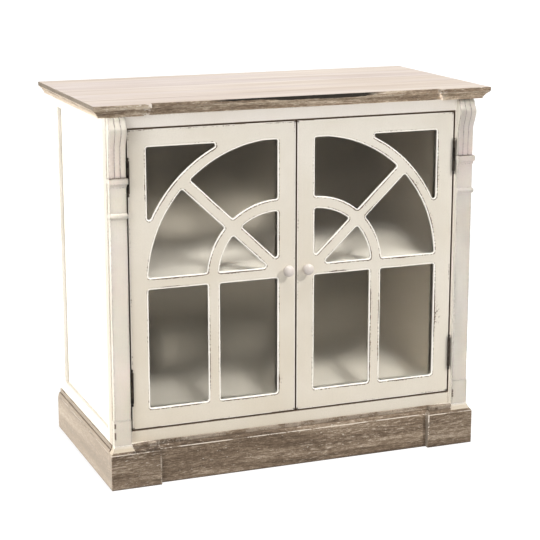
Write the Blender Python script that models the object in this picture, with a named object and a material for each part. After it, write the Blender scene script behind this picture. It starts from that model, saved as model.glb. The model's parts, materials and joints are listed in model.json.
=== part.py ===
"""Display cabinet with two glazed fretwork doors.

Metres, +Z up, the front faces -Y. The origin is on the floor, at the centre of
the plan, so the top board spans 0.88 x 0.45 and the height is 0.80.
"""

import math

import bmesh
import bpy
from mathutils import Vector
from mathutils.geometry import tessellate_polygon

# ---------------------------------------------------------------- dimensions
GAP = 0.0003  # between faces that touch

# top
TOP_W, TOP_D, HEIGHT = 0.880, 0.450, 0.800
SLAB_T = 0.0085  # square edge of the top board
CORNICE_T = 0.0162  # moulded board under it
BREAK_X = 0.3195  # inner end of the projecting corner blocks, from the centre
BREAK_D = 0.0110  # how far the corner blocks project
COVE_IN = 0.0125  # how far the moulding runs in under the slab

# carcass
CASE_X = 0.4095  # half width of the carcass
CASE_FRONT = -0.2000  # face frame and door fronts
CASE_BACK = 0.2200
CASE_TOP = HEIGHT - SLAB_T - CORNICE_T - 2 * GAP
FACE_T = 0.0200  # face frame thickness
SIDE_T = 0.0180
SIDE_RECESS = 0.0080  # side panel behind the side frame
REBATE = 0.0080
SIDE_SIGHT = (-0.165, 0.182, 0.118, 0.7475)  # y0, y1, z0, z1 of the side panel

# door opening and doors
OPEN_X = 0.3683
OPEN_Z0, OPEN_Z1 = 0.1185, 0.7488
DOOR_IN, DOOR_OUT = 0.0013, 0.3657  # door edges, from the centre
DOOR_Z0, DOOR_Z1 = 0.1200, 0.7474
FRONT_T = 0.0110  # fretwork panel
FRAME_T = 0.0087  # frame behind it
GLASS_T = 0.0028
SIGHT_IN, SIGHT_OUT = 0.0419, 0.3258
SIGHT_Z0, SIGHT_Z1 = 0.1632, 0.7100
RAIL_Z0, RAIL_Z1 = 0.4155, 0.4405  # mid rail
MULL_IN, MULL_OUT = 0.1704, 0.1971  # mullion below it
ARC_U, ARC_Z = 0.0420, 0.4280  # centre of both arcs
ARC1_IN, ARC1_OUT = 0.2835, 0.3070
ARC2_IN, ARC2_OUT = 0.1310, 0.1572
BAR_ANGLE = math.radians(43.5)
BAR_W = 0.0255
BAR_P = (0.0420, 0.4385)  # a point on the diagonal bar's centre line
CORNER_R = 0.0042

# hinges
HINGE_X, HINGE_Y = 0.3655, -0.2040  # barrel axis
HINGE_R, HINGE_BORE, HINGE_PIN = 0.0032, 0.00173, 0.0016
HINGE_H = 0.0640
HINGE_Z = (0.6200, 0.1800)  # lower end of the barrels
LEAF_BACK = -0.1825
KNUCKLES = 5

# knobs
KNOB_X, KNOB_Z = 0.0222, 0.4320

# pilasters
PIL_IN, PIL_OUT = 0.3715, 0.4070
PIL_FRONT = -0.2120

# plinth
PLINTH_X = 0.4185
PLINTH_FRONT = -0.2220
PLINTH_BACK = 0.2215
PLINTH_Z = 0.0755  # top of the vertical face
COVE_Z = 0.0925  # top of the cove
BLOCK_IN = 0.3095

# inside
SHELF_Z0, SHELF_Z1 = 0.4080, 0.4240
FLOOR_Z0 = 0.1005

# ---------------------------------------------------------------- scene
for ob in list(bpy.data.objects):
    bpy.data.objects.remove(ob, do_unlink=True)


def material(name, colour, roughness, metallic=0.0):
    m = bpy.data.materials.new(name)
    m.use_nodes = True
    b = m.node_tree.nodes["Principled BSDF"]
    b.inputs["Base Color"].default_value = (*colour, 1.0)
    b.inputs["Roughness"].default_value = roughness
    b.inputs["Metallic"].default_value = metallic
    m.diffuse_color = (*colour, 1.0)
    return m


PAINT = ("cream_paint", (0.80, 0.74, 0.64), 0.55, 0.0)
TOPWOOD = ("whitewashed_wood", (0.64, 0.55, 0.48), 0.60, 0.0)
WOOD = ("driftwood", (0.24, 0.18, 0.13), 0.65, 0.0)
INSIDE = ("inside_paint", (0.62, 0.57, 0.49), 0.60, 0.0)
BACK = ("back_panel_board", (0.40, 0.35, 0.29), 0.70, 0.0)
GLASS = ("door_glass", (0.80, 0.84, 0.82), 0.05, 0.0)
BRONZE = ("dark_bronze", (0.045, 0.035, 0.030), 0.45, 0.9)
KNOBMAT = ("knob_enamel", (0.84, 0.79, 0.70), 0.30, 0.0)
STEEL = ("zinc_steel", (0.55, 0.55, 0.55), 0.35, 1.0)
PLASTIC = ("catch_plastic", (0.75, 0.74, 0.70), 0.50, 0.0)

hinge_axis = {}
for side, sx in (("left", -1), ("right", 1)):
    e = bpy.data.objects.new("%s_door_axis" % side, None)
    e.location = (sx * HINGE_X, HINGE_Y, 0.0)
    bpy.context.collection.objects.link(e)
    hinge_axis[side] = e


def add(name, verts, faces, look, origin=None, parent=None, round_angle=None):
    """One closed body. verts are where the piece stands in the cabinet."""
    origin = Vector(origin) if origin else sum((Vector(v) for v in verts), Vector()) / len(verts)
    me = bpy.data.meshes.new(name)
    me.from_pydata([Vector(v) - origin for v in verts], [], faces)
    bm = bmesh.new()
    bm.from_mesh(me)
    bmesh.ops.remove_doubles(bm, verts=bm.verts, dist=1e-6)
    bmesh.ops.recalc_face_normals(bm, faces=bm.faces)
    if bm.calc_volume(signed=True) < 0:
        bmesh.ops.reverse_faces(bm, faces=bm.faces)
    bmesh.ops.triangulate(bm, faces=[f for f in bm.faces if len(f.verts) > 4])
    bm.to_mesh(me)
    bm.free()
    ob = bpy.data.objects.new(name, me)
    bpy.context.collection.objects.link(ob)
    me.materials.append(material(name + "_" + look[0], *look[1:]))
    if round_angle:
        me.shade_smooth()
        me.set_sharp_from_angle(angle=math.radians(round_angle))
    if parent:
        ob.parent = parent
        ob.location = origin - parent.location
    else:
        ob.location = origin
    return ob


def box(name, x, y, z, look, **kw):
    (x0, x1), (y0, y1), (z0, z1) = sorted(x), sorted(y), sorted(z)
    v = [(a, b, c) for a in (x0, x1) for b in (y0, y1) for c in (z0, z1)]
    f = [(0, 1, 3, 2), (4, 6, 7, 5), (0, 4, 5, 1), (2, 3, 7, 6), (0, 2, 6, 4), (1, 5, 7, 3)]
    return add(name, v, f, look, **kw)


def loft(name, loops, look, **kw):
    """Joins loops of equal length in order and caps both ends."""
    n = len(loops[0])
    v = [p for loop in loops for p in loop]
    f = []
    for k in range(len(loops) - 1):
        for i in range(n):
            j = (i + 1) % n
            f.append((k * n + i, k * n + j, (k + 1) * n + j, (k + 1) * n + i))
    f.append(tuple(range(n)))
    f.append(tuple((len(loops) - 1) * n + i for i in range(n)))
    return add(name, v, f, look, **kw)


def plate(name, outer, holes, at0, at1, look, **kw):
    """A plate with holes. outer and holes are loops of 2D points, and at0 and at1 place
    a 2D point on the plate's two faces."""
    loops = [outer] + holes
    pts = [p for loop in loops for p in loop]
    tris = tessellate_polygon([[Vector((p[0], p[1], 0.0)) for p in loop] for loop in loops])
    n = len(pts)
    v = [at0(p) for p in pts] + [at1(p) for p in pts]
    f = [tuple(t) for t in tris] + [tuple(n + i for i in reversed(t)) for t in tris]
    base = 0
    for loop in loops:
        m = len(loop)
        for i in range(m):
            a, b = base + i, base + (i + 1) % m
            f.append((a, b, n + b, n + a))
        base += m
    return add(name, v, f, look, **kw)


def rect(a0, a1, b0, b1):
    return [(a0, b0), (a1, b0), (a1, b1), (a0, b1)]


def circle(ca, cb, r, n):
    return [(ca + r * math.cos(2 * math.pi * i / n), cb + r * math.sin(2 * math.pi * i / n)) for i in range(n)]


def stepped_ring(name, sight, out, rebate, layers, place, look, **kw):
    """A frame with a rebate: the sight opening in its show face, a wider one behind."""
    s0, s1, t0, t1 = sight
    wide = (s0 - rebate, s1 + rebate, t0 - rebate, t1 + rebate)
    a, b, c = layers  # show face, rebate floor, back
    loops = [rect(*out), rect(*sight), rect(*sight), rect(*wide), rect(*wide), rect(*out)]
    depth = [a, a, b, b, c, c]
    v = [place(p, d) for loop, d in zip(loops, depth) for p in loop]
    f = []
    for k in range(6):
        m = (k + 1) % 6
        for i in range(4):
            j = (i + 1) % 4
            f.append((k * 4 + i, k * 4 + j, m * 4 + j, m * 4 + i))
    return add(name, v, f, look, **kw)


def turned(name, profile, place, n, look, **kw):
    """Turns a profile of (radius, height) round an axis. It starts and ends on the axis."""
    v, rows = [], []
    for r, h in profile:
        if r < 1e-9:
            rows.append([len(v)] * n)
            v.append(place(0.0, 0.0, h))
        else:
            rows.append([len(v) + i for i in range(n)])
            for i in range(n):
                a = 2 * math.pi * i / n
                v.append(place(r * math.cos(a), r * math.sin(a), h))
    f = []
    for p, q in zip(rows, rows[1:]):
        for i in range(n):
            j = (i + 1) % n
            quad = []
            for k in (p[i], p[j], q[j], q[i]):
                if k not in quad:
                    quad.append(k)
            if len(quad) > 2:
                f.append(tuple(quad))
    return add(name, v, f, look, **kw)


# ---------------------------------------------------------------- top
MIDDLE_Y = -TOP_D / 2 + BREAK_D  # front of the top's recessed middle


def board_outline(d, z):
    """Plan of the board, moved in by d on the front and the sides."""
    x = TOP_W / 2 - d
    return [(-x, TOP_D / 2, z), (-x, MIDDLE_Y + d, z), (x, MIDDLE_Y + d, z), (x, TOP_D / 2, z)]


def cornice_outline(d, z):
    """Plan of the moulded board, moved in by d where its moulding shows. Its ends run
    forward to the backs of the corner blocks."""
    x, b = TOP_W / 2 - d, BREAK_X + d
    ends = max(MIDDLE_Y, -TOP_D / 2 + d)
    return [
        (-x, TOP_D / 2, z), (-x, ends, z), (-b, ends, z), (-b, MIDDLE_Y + d, z),
        (b, MIDDLE_Y + d, z), (b, ends, z), (x, ends, z), (x, TOP_D / 2, z),
    ]


def block_outline(sx, d, z):
    """Plan of a projecting corner block, which stands against the middle's front."""
    xi, xo, y0, y1 = BREAK_X + d, TOP_W / 2 - d, -TOP_D / 2 + d, MIDDLE_Y - GAP
    return [(sx * xi, y1, z), (sx * xi, y0, z), (sx * xo, y0, z), (sx * xo, y1, z)]


z0 = HEIGHT - SLAB_T
slab = [(0.0006, z0), (0.0, z0 + 0.0006), (0.0, HEIGHT - 0.0008), (0.0008, HEIGHT)]
loft("top_board", [board_outline(d, z) for d, z in slab], TOPWOOD)

zt, zb = HEIGHT - SLAB_T - GAP, CASE_TOP + GAP
cove = [(COVE_IN, zb), (COVE_IN, zb + 0.0034), (COVE_IN - 0.0011, zb + 0.0036)]
for i in range(7):
    a = math.radians(90 * i / 6)
    cove.append((COVE_IN - 0.0012 - 0.0091 * (1 - math.cos(a)), zb + 0.0038 + 0.0106 * math.sin(a)))
cove += [(0.0012, zt - 0.0011), (0.0010, zt)]
loft("cornice_board", [cornice_outline(d, z) for d, z in cove], WOOD)
for side, sx in (("left", -1), ("right", 1)):
    loft("top_block_" + side, [block_outline(sx, d, z) for d, z in slab], TOPWOOD)
    loft("cornice_block_" + side, [block_outline(sx, d, z) for d, z in cove if d < BREAK_D - GAP - 0.0003], WOOD)

# ---------------------------------------------------------------- carcass
for side, sx in (("left", -1), ("right", 1)):
    inner = CASE_X - SIDE_T

    def on_side(p, d, sx=sx):
        return (sx * d, p[0], p[1])

    stepped_ring(
        "side_frame_" + side,
        SIDE_SIGHT,
        (CASE_FRONT + FACE_T + GAP, CASE_BACK, 0.0, CASE_TOP),
        REBATE,
        (CASE_X, CASE_X - SIDE_RECESS + GAP, inner),
        on_side,
        PAINT,
    )
    y0, y1, s0, s1 = SIDE_SIGHT
    r = REBATE - GAP
    xp = CASE_X - SIDE_RECESS
    box("side_panel_" + side, (sx * xp, sx * (xp - 0.0057)), (y0 - r, y1 + r), (s0 - r, s1 + r), PAINT)
    box(
        "face_stile_" + side,
        (sx * OPEN_X, sx * CASE_X),
        (CASE_FRONT, CASE_FRONT + FACE_T),
        (0.0, CASE_TOP),
        PAINT,
    )

inner = CASE_X - SIDE_T - GAP
rail_x = OPEN_X - GAP
face_y = (CASE_FRONT, CASE_FRONT + FACE_T)
behind = CASE_FRONT + FACE_T + GAP
box("frieze_rail", (-rail_x, rail_x), face_y, (OPEN_Z1, CASE_TOP), PAINT)
box("bottom_rail", (-rail_x, rail_x), face_y, (0.0600, OPEN_Z0), PAINT)
box("bottom_board", (-inner, inner), (behind, 0.2122), (FLOOR_Z0, OPEN_Z0), INSIDE)
box("back_panel", (-inner, inner), (0.2125, 0.2185), (FLOOR_Z0, CASE_TOP), BACK)
box("plinth_back", (-inner, inner), (0.2035, 0.2185), (0.0, FLOOR_Z0 - GAP), PAINT)
box("shelf", (-inner + 0.0005, inner - 0.0005), (-0.1680, 0.2115), (SHELF_Z0, SHELF_Z1), INSIDE)
for side, sx in (("left", -1), ("right", 1)):
    box(
        "shelf_cleat_" + side,
        (sx * (inner - 0.0197), sx * inner),
        (behind, 0.2120),
        (SHELF_Z0 - GAP - 0.0200, SHELF_Z0 - GAP),
        INSIDE,
    )

# magnetic catch: a housing behind the frieze rail, its lower part behind both doors
prof = [
    (-0.1782, 0.7330), (-0.1600, 0.7330), (-0.1600, 0.7645),
    (-0.1797, 0.7645), (-0.1797, 0.7495), (-0.1782, 0.7495),
]
loft("magnetic_catch", [[(x, y, z) for y, z in prof] for x in (-0.028, 0.028)], PLASTIC)


# ---------------------------------------------------------------- pilasters
def smooth_steps(keys, t):
    """Passes through the keys, level at each of them."""
    if t <= keys[0][0]:
        return keys[0][1]
    for (t0, v0), (t1, v1) in zip(keys, keys[1:]):
        if t <= t1:
            s = (t - t0) / (t1 - t0)
            return v0 + (v1 - v0) * s * s * (3 - 2 * s)
    return keys[-1][1]


def block_loop(sx, xi, xo, front, z, back=CASE_FRONT - GAP):
    return [(sx * xi, front, z), (sx * xo, front, z), (sx * xo, back, z), (sx * xi, back, z)]


FOOT_Z0, FOOT_Z1 = COVE_Z + GAP, 0.1470
BEAD_Z, BEAD_R = 0.5757, 0.0058
CAP_Z0, CAP_Z1 = 0.6345, 0.6527
CORBEL_Z0, CORBEL_Z1 = CAP_Z1 + GAP, CASE_TOP

for side, sx in (("left", -1), ("right", 1)):
    # foot block, its top edge eased
    loops = [block_loop(sx, 0.3692, 0.4085, -0.2145, FOOT_Z0), block_loop(sx, 0.3692, 0.4085, -0.2145, FOOT_Z1 - 0.0020)]
    loops.append(block_loop(sx, 0.3704, 0.4075, -0.2126, FOOT_Z1))
    loft("pilaster_foot_" + side, loops, PAINT)

    # shaft with its astragal bead, up to the capital
    loops = [block_loop(sx, PIL_IN, PIL_OUT, PIL_FRONT, FOOT_Z1 + GAP)]
    for i in range(9):
        a = math.radians(-90 + 180 * i / 8)
        p = math.cos(a) if 0 < i < 8 else 0.0
        loops.append(
            block_loop(sx, PIL_IN - 0.0016 * p, PIL_OUT + 0.0018 * p, PIL_FRONT - 0.0062 * p, BEAD_Z + BEAD_R * math.sin(a))
        )
    loops.append(block_loop(sx, PIL_IN, PIL_OUT, PIL_FRONT, CAP_Z0 - GAP))
    loft("pilaster_" + side, loops, PAINT)

    # capital: square above, coved in below
    loops = []
    for t, p in ((0.0, 0.0), (0.0025, 0.0004), (0.0045, 0.0014), (0.0060, 0.0030), (0.0068, 0.0052), (0.0072, 0.0058)):
        q = p / 0.0058
        loops.append(block_loop(sx, 0.3711 - 0.0019 * q, 0.4076 + 0.0019 * q, -0.2140 - 0.0056 * q, CAP_Z0 + t))
    loops.append(block_loop(sx, 0.3692, 0.4095, -0.2196, CAP_Z1 - 0.0010))
    loops.append(block_loop(sx, 0.3700, 0.4087, -0.2188, CAP_Z1))
    loft("capital_" + side, loops, PAINT)

    # corbel: three reeds on a scroll that swells forward near its top
    swell = [
        (CORBEL_Z0, 0.0122), (0.6900, 0.0120), (0.7100, 0.0128), (0.7500, 0.0232), (0.7690, 0.0150), (CORBEL_Z1, 0.0108),
    ]
    reed, lobes, per, end_r = 0.0034, 3, 6, 0.0055
    rows = 24
    verts, faces = [], []
    for k in range(rows + 1):
        t = k / rows
        t = t + 0.045 * math.sin(2 * math.pi * t) * -1.0  # closer rows at both ends
        z = CORBEL_Z0 + (CORBEL_Z1 - CORBEL_Z0) * t
        d = smooth_steps(swell, z)
        bulge = max(0.0, (d - 0.0122) / 0.0110)
        xi, xo = PIL_IN - 0.0010 * bulge, PIL_OUT + 0.0012 * bulge
        dz = min(z - CORBEL_Z0, CORBEL_Z1 - z)
        kk = max(0.0, 1.0 - dz / end_r)
        for i in range(lobes * per + 1):
            s = ((i % per) / per) * 2 - 1
            if i == lobes * per:
                s = 1.0
            s = math.sin(s * math.pi / 2)
            crown = math.sqrt(max(0.0, 1 - s * s - 0.85 * kk * kk))
            lobe = min(i // per, lobes - 1)
            x = xi + (xo - xi) * (lobe + (s + 1) / 2) / lobes
            verts.append((sx * x, CASE_FRONT - GAP - (d - reed) - reed * crown, z))
        verts.append((sx * xo, CASE_FRONT - GAP, z))
        verts.append((sx * xi, CASE_FRONT - GAP, z))
    n = lobes * per + 3
    loft("corbel_" + side, [verts[k * n:(k + 1) * n] for k in range(rows + 1)], PAINT, round_angle=50)


# ---------------------------------------------------------------- plinth
def plinth_cove(run, steps=6, hollow=0.45):
    """(inset, z) from the top of the vertical face up the cove."""
    out = []
    for i in range(steps + 1):
        t = i / steps
        a = t * math.pi / 2
        d = run * (t * (1 - hollow) + math.sin(a) * hollow)
        out.append((d, PLINTH_Z + (COVE_Z - PLINTH_Z) * (t * (1 - hollow) + (1 - math.cos(a)) * hollow)))
    return out


recess_y = PLINTH_FRONT + BREAK_D
back_y = CASE_FRONT - GAP
run = back_y - recess_y - 0.0005
section = [(back_y, 0.0), (recess_y + 0.0012, 0.0), (recess_y, 0.0012)]
section += [(recess_y + d, z) for d, z in plinth_cove(run)] + [(back_y, COVE_Z)]
loft("plinth_front", [[(x, y, z) for y, z in section] for x in (-BLOCK_IN + GAP, BLOCK_IN - GAP)], WOOD)

side_run = PLINTH_X - (CASE_X + GAP) - 0.0006
for side, sx in (("left", -1), ("right", 1)):
    loops = []
    for d, z in [(0.0012, 0.0), (0.0, 0.0012)] + plinth_cove(BREAK_D - 0.0005):
        q = d * side_run / run if z > 0.01 else d
        loops.append(block_loop(sx, BLOCK_IN + d, PLINTH_X - q, PLINTH_FRONT + d, z))
    loft("plinth_block_" + side, loops, WOOD)

    section = [(CASE_X + GAP, 0.0), (PLINTH_X - 0.0012, 0.0), (PLINTH_X, 0.0012)]
    section += [(PLINTH_X - d, z) for d, z in plinth_cove(side_run)] + [(CASE_X + GAP, COVE_Z)]
    loft("plinth_side_" + side, [[(sx * x, y, z) for x, z in section] for y in (CASE_FRONT, PLINTH_BACK)], WOOD)


# ---------------------------------------------------------------- doors
def arc_points(r, a0, a1, step=3.0):
    """Points on an arc about the arcs' centre, angles in degrees from the rail."""
    n = max(2, int(math.ceil(abs(a1 - a0) / step)))
    return [
        (ARC_U + r * math.cos(math.radians(a0 + (a1 - a0) * i / n)), ARC_Z + r * math.sin(math.radians(a0 + (a1 - a0) * i / n)))
        for i in range(n + 1)
    ]


def angle_at(r, u=None, z=None):
    """Where an arc of radius r meets the line u or z, in degrees."""
    if u is not None:
        return math.degrees(math.acos((u - ARC_U) / r))
    return math.degrees(math.asin((z - ARC_Z) / r))


def bar_meets(r, off):
    """Angle at which an edge of the diagonal bar, off to its left, meets the arc r."""
    c, s = math.cos(BAR_ANGLE), math.sin(BAR_ANGLE)
    pu, pz = BAR_P[0] - s * off - ARC_U, BAR_P[1] + c * off - ARC_Z
    b = pu * c + pz * s
    t = -b + math.sqrt(b * b - (pu * pu + pz * pz - r * r))
    return math.degrees(math.atan2(pz + t * s, pu + t * c))


def bar_at(off, u=None, z=None):
    c, s = math.cos(BAR_ANGLE), math.sin(BAR_ANGLE)
    pu, pz = BAR_P[0] - s * off, BAR_P[1] + c * off
    t = (u - pu) / c if u is not None else (z - pz) / s
    return (pu + t * c, pz + t * s)


def cut_ends(path, a, b):
    """A polyline shortened by a at its start and b at its end."""
    def trim(pts, length):
        pts = list(pts)
        while length > 0 and len(pts) > 1:
            p, q = Vector(pts[0]), Vector(pts[1])
            d = (q - p).length
            if d > length + 1e-9:
                pts[0] = tuple(p + (q - p) * (length / d))
                return pts
            length -= d
            pts.pop(0)
        return pts

    return trim(trim(path, a)[::-1], b)[::-1]


def rounded(edges, radius=CORNER_R, steps=4):
    """A closed loop of polylines, each corner between two of them rounded."""
    n = len(edges)
    lengths = [sum((Vector(q) - Vector(p)).length for p, q in zip(e, e[1:])) for e in edges]
    takes, weights = [], []
    for i in range(n):
        e, f = edges[i], edges[(i + 1) % n]
        c = Vector(e[-1])
        a, b = (Vector(e[-2]) - c).normalized(), (Vector(f[1]) - c).normalized()
        half = math.acos(max(-1.0, min(1.0, a.dot(b)))) / 2
        takes.append(min(radius / math.tan(half), 0.42 * lengths[i], 0.42 * lengths[(i + 1) % n]))
        weights.append(math.sin(half))
    cut = [cut_ends(edges[i], takes[i - 1], takes[i]) for i in range(n)]
    out = []
    for i in range(n):
        out += cut[i]
        p, c, q, w = Vector(cut[i][-1]), Vector(edges[i][-1]), Vector(cut[(i + 1) % n][0]), weights[i]
        for k in range(1, steps):
            t = k / steps
            a, b, d = (1 - t) ** 2, 2 * t * (1 - t) * w, t * t
            out.append(tuple((p * a + c * b + q * d) / (a + b + d)))
    return out


h = BAR_W / 2
in1, out1, in2, out2 = ARC1_IN, ARC1_OUT, ARC2_IN, ARC2_OUT
openings = []
# spandrel in the top outer corner
openings.append(rounded([
    [(SIGHT_OUT, SIGHT_Z1), arc_points(out1, angle_at(out1, z=SIGHT_Z1), 0)[0]],
    arc_points(out1, angle_at(out1, z=SIGHT_Z1), angle_at(out1, u=SIGHT_OUT)),
    [arc_points(out1, angle_at(out1, u=SIGHT_OUT), 90)[0], (SIGHT_OUT, SIGHT_Z1)],
]))
# upper pane, between the arcs, above the bar
a_top, a_bar = angle_at(in1, u=SIGHT_IN + 0.0001), bar_meets(in1, h)
top_in = min(arc_points(in1, a_top, 90)[0][1], SIGHT_Z1)
a_cross = angle_at(in1, z=SIGHT_Z1 - 0.0) if in1 > SIGHT_Z1 - ARC_Z else a_top
start2 = (SIGHT_IN, ARC_Z + math.sqrt(out2 ** 2 - (SIGHT_IN - ARC_U) ** 2))
low = arc_points(out2, bar_meets(out2, h), 89.99)
low[-1] = start2
openings.append(rounded([
    [(SIGHT_IN, SIGHT_Z1), arc_points(in1, a_cross, 0)[0]] + arc_points(in1, a_cross, a_bar)[1:],
    [arc_points(in1, a_bar, 0)[0], low[0]],
    low,
    [low[-1], (SIGHT_IN, SIGHT_Z1)],
]))
# outer pane, between the arcs, under the bar
b1, b2 = bar_meets(in1, -h), bar_meets(out2, -h)
r1, r2 = angle_at(in1, z=RAIL_Z1), angle_at(out2, z=RAIL_Z1)
openings.append(rounded([
    arc_points(in1, b1, r1),
    [arc_points(in1, r1, 0)[0], arc_points(out2, r2, 0)[0]],
    arc_points(out2, r2, b2),
    [arc_points(out2, b2, 0)[0], arc_points(in1, b1, 0)[0]],
]))
# small panes inside the small arc
s1 = bar_meets(in2, h)
top2 = (SIGHT_IN, ARC_Z + math.sqrt(in2 ** 2 - (SIGHT_IN - ARC_U) ** 2))
up = arc_points(in2, 89.99, s1)
up[0] = top2
openings.append(rounded([up, [up[-1], bar_at(h, u=SIGHT_IN)], [bar_at(h, u=SIGHT_IN), top2]]))
s2, s3 = bar_meets(in2, -h), angle_at(in2, z=RAIL_Z1)
down = arc_points(in2, s2, s3)
corner = bar_at(-h, z=RAIL_Z1)
openings.append(rounded([down, [down[-1], corner], [corner, down[0]]]))
# two tall panes under the mid rail
for u0, u1 in ((SIGHT_IN, MULL_IN), (MULL_OUT, SIGHT_OUT)):
    c = rect(u0, u1, SIGHT_Z0, RAIL_Z0)
    openings.append(rounded([[c[i], c[(i + 1) % 4]] for i in range(4)]))

knob_hole = circle(KNOB_X, KNOB_Z, 0.0023, 16)
front_y = (CASE_FRONT, CASE_FRONT + FRONT_T)
frame_y = (CASE_FRONT + FRONT_T + GAP, CASE_FRONT + FRONT_T + GAP + FRAME_T)
glass_y = (frame_y[0], frame_y[0] + GLASS_T)
bead_y = (glass_y[1] + GAP, frame_y[1] - 0.0005)
w = 0.0085  # how far the glass runs in behind the fretwork
wide = (SIGHT_IN - w, SIGHT_OUT + w, SIGHT_Z0 - w, SIGHT_Z1 + w)


def inset(r, d):
    return (r[0] + d, r[1] - d, r[2] + d, r[3] - d)


for side, sx in (("left", -1), ("right", 1)):
    axis = hinge_axis[side]

    def at(y, sx=sx):
        return lambda p: (sx * p[0], y, p[1])

    edge = rect(DOOR_IN, DOOR_OUT, DOOR_Z0, DOOR_Z1)
    plate("door_front_" + side, edge, openings + [knob_hole], at(front_y[0]), at(front_y[1]), PAINT, parent=axis)
    plate("door_frame_" + side, edge, [rect(*wide), knob_hole], at(frame_y[0]), at(frame_y[1]), PAINT, parent=axis)
    g = inset(wide, GAP)
    box("door_glass_" + side, (sx * g[0], sx * g[1]), glass_y, (g[2], g[3]), GLASS, parent=axis)
    plate(
        "glazing_bead_" + side, rect(*g), [rect(SIGHT_IN, SIGHT_OUT, SIGHT_Z0, SIGHT_Z1)], at(bead_y[0]), at(bead_y[1]), INSIDE,
        parent=axis,
    )

    # knob: a turned mushroom with a blind hole for its screw
    prof = [(0.0, 0.0105), (0.0022, 0.0105), (0.0022, GAP), (0.0068, GAP), (0.0070, 0.0012), (0.0058, 0.0028), (0.0050, 0.0055)]
    prof += [(0.0056, 0.0082), (0.0080, 0.0102), (0.0108, 0.0118)]
    for i in range(7):
        a = math.radians(-12 + 102 * i / 6)
        prof.append((0.0122 * math.cos(a) if i < 6 else 0.0, 0.0148 + 0.0072 * math.sin(a)))

    def out_front(p, q, hgt, sx=sx):
        return (sx * KNOB_X + p, CASE_FRONT - hgt, KNOB_Z + q)

    turned("knob_" + side, prof, out_front, 24, KNOBMAT, parent=axis, round_angle=50)
    back = -(frame_y[1] - CASE_FRONT) - GAP
    prof = [(0.0, back - 0.0022), (0.0022, back - 0.0020), (0.0036, back - 0.0012), (0.0040, back), (0.0018, back), (0.0018, 0.0098), (0.0, 0.0098)]
    turned("knob_screw_" + side, prof, out_front, 16, STEEL, parent=axis, round_angle=50)

    box(
        "strike_plate_" + side, (sx * 0.0065, sx * 0.0265), (-0.1797, -0.1789), (0.7345, 0.7460), STEEL, parent=axis,
    )


# ---------------------------------------------------------------- hinges
def leaf(name, sx, zlow, x0, x1, mine, look, parent=None):
    """A hinge leaf: a plate in the gap beside the door, and its share of the knuckles.
    x0 and x1 are the plate's faces, measured from the barrel's axis."""
    yf, yb = 0.0038, LEAF_BACK - HINGE_Y
    pitch = HINGE_H / KNUCKLES
    verts, faces, index = [], [], {}

    def vert(x, y, z):
        key = (round(x, 7), round(y, 7), round(z, 7))
        if key not in index:
            index[key] = len(verts)
            verts.append((sx * (HINGE_X + x), HINGE_Y + y, zlow + z))
        return index[key]

    a0 = math.atan2(math.sqrt(HINGE_R ** 2 - x0 ** 2), x0)
    a1 = math.atan2(math.sqrt(HINGE_R ** 2 - x1 ** 2), x1) + 2 * math.pi
    n = 20
    outline = [(x0, yf)]
    outline += [(HINGE_R * math.cos(a0 + (a1 - a0) * i / n), HINGE_R * math.sin(a0 + (a1 - a0) * i / n)) for i in range(n + 1)]
    outline += [(x1, yf)]
    bore = circle(0.0, 0.0, HINGE_BORE, 16)
    levels = []
    for k in mine:
        levels.append((k * pitch + 0.0002 * (k > 0), (k + 1) * pitch - 0.0002 * (k < KNUCKLES - 1)))
    cuts = sorted({0.0, HINGE_H} | {z for lv in levels for z in lv})
    loops = [outline, bore]
    pts = outline + bore
    tris = tessellate_polygon([[Vector((p[0], p[1], 0.0)) for p in loop] for loop in loops])
    for z0, z1 in levels:
        for i in range(len(outline) - 1):
            p, q = outline[i], outline[i + 1]
            faces.append((vert(*p, z0), vert(*q, z0), vert(*q, z1), vert(*p, z1)))
        for i in range(len(bore)):
            p, q = bore[i], bore[(i + 1) % len(bore)]
            faces.append((vert(*p, z0), vert(*p, z1), vert(*q, z1), vert(*q, z0)))
        for z in (z0, z1):
            for t in tris:
                faces.append(tuple(vert(*pts[i], z) for i in t))
    for z0, z1 in zip(cuts, cuts[1:]):
        if not any(abs(z0 - a) < 1e-9 for a, b in levels):
            faces.append((vert(x0, yf, z0), vert(x1, yf, z0), vert(x1, yf, z1), vert(x0, yf, z1)))
    for x in (x0, x1):
        faces.append(tuple([vert(x, yb, 0.0), vert(x, yb, HINGE_H)] + [vert(x, yf, z) for z in reversed(cuts)]))
    faces.append((vert(x0, yb, 0.0), vert(x1, yb, 0.0), vert(x1, yb, HINGE_H), vert(x0, yb, HINGE_H)))
    for z in (0.0, HINGE_H):
        faces.append((vert(x0, yf, z), vert(x1, yf, z), vert(x1, yb, z), vert(x0, yb, z)))
    return add(name, verts, faces, look, parent=parent, round_angle=50)


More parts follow.
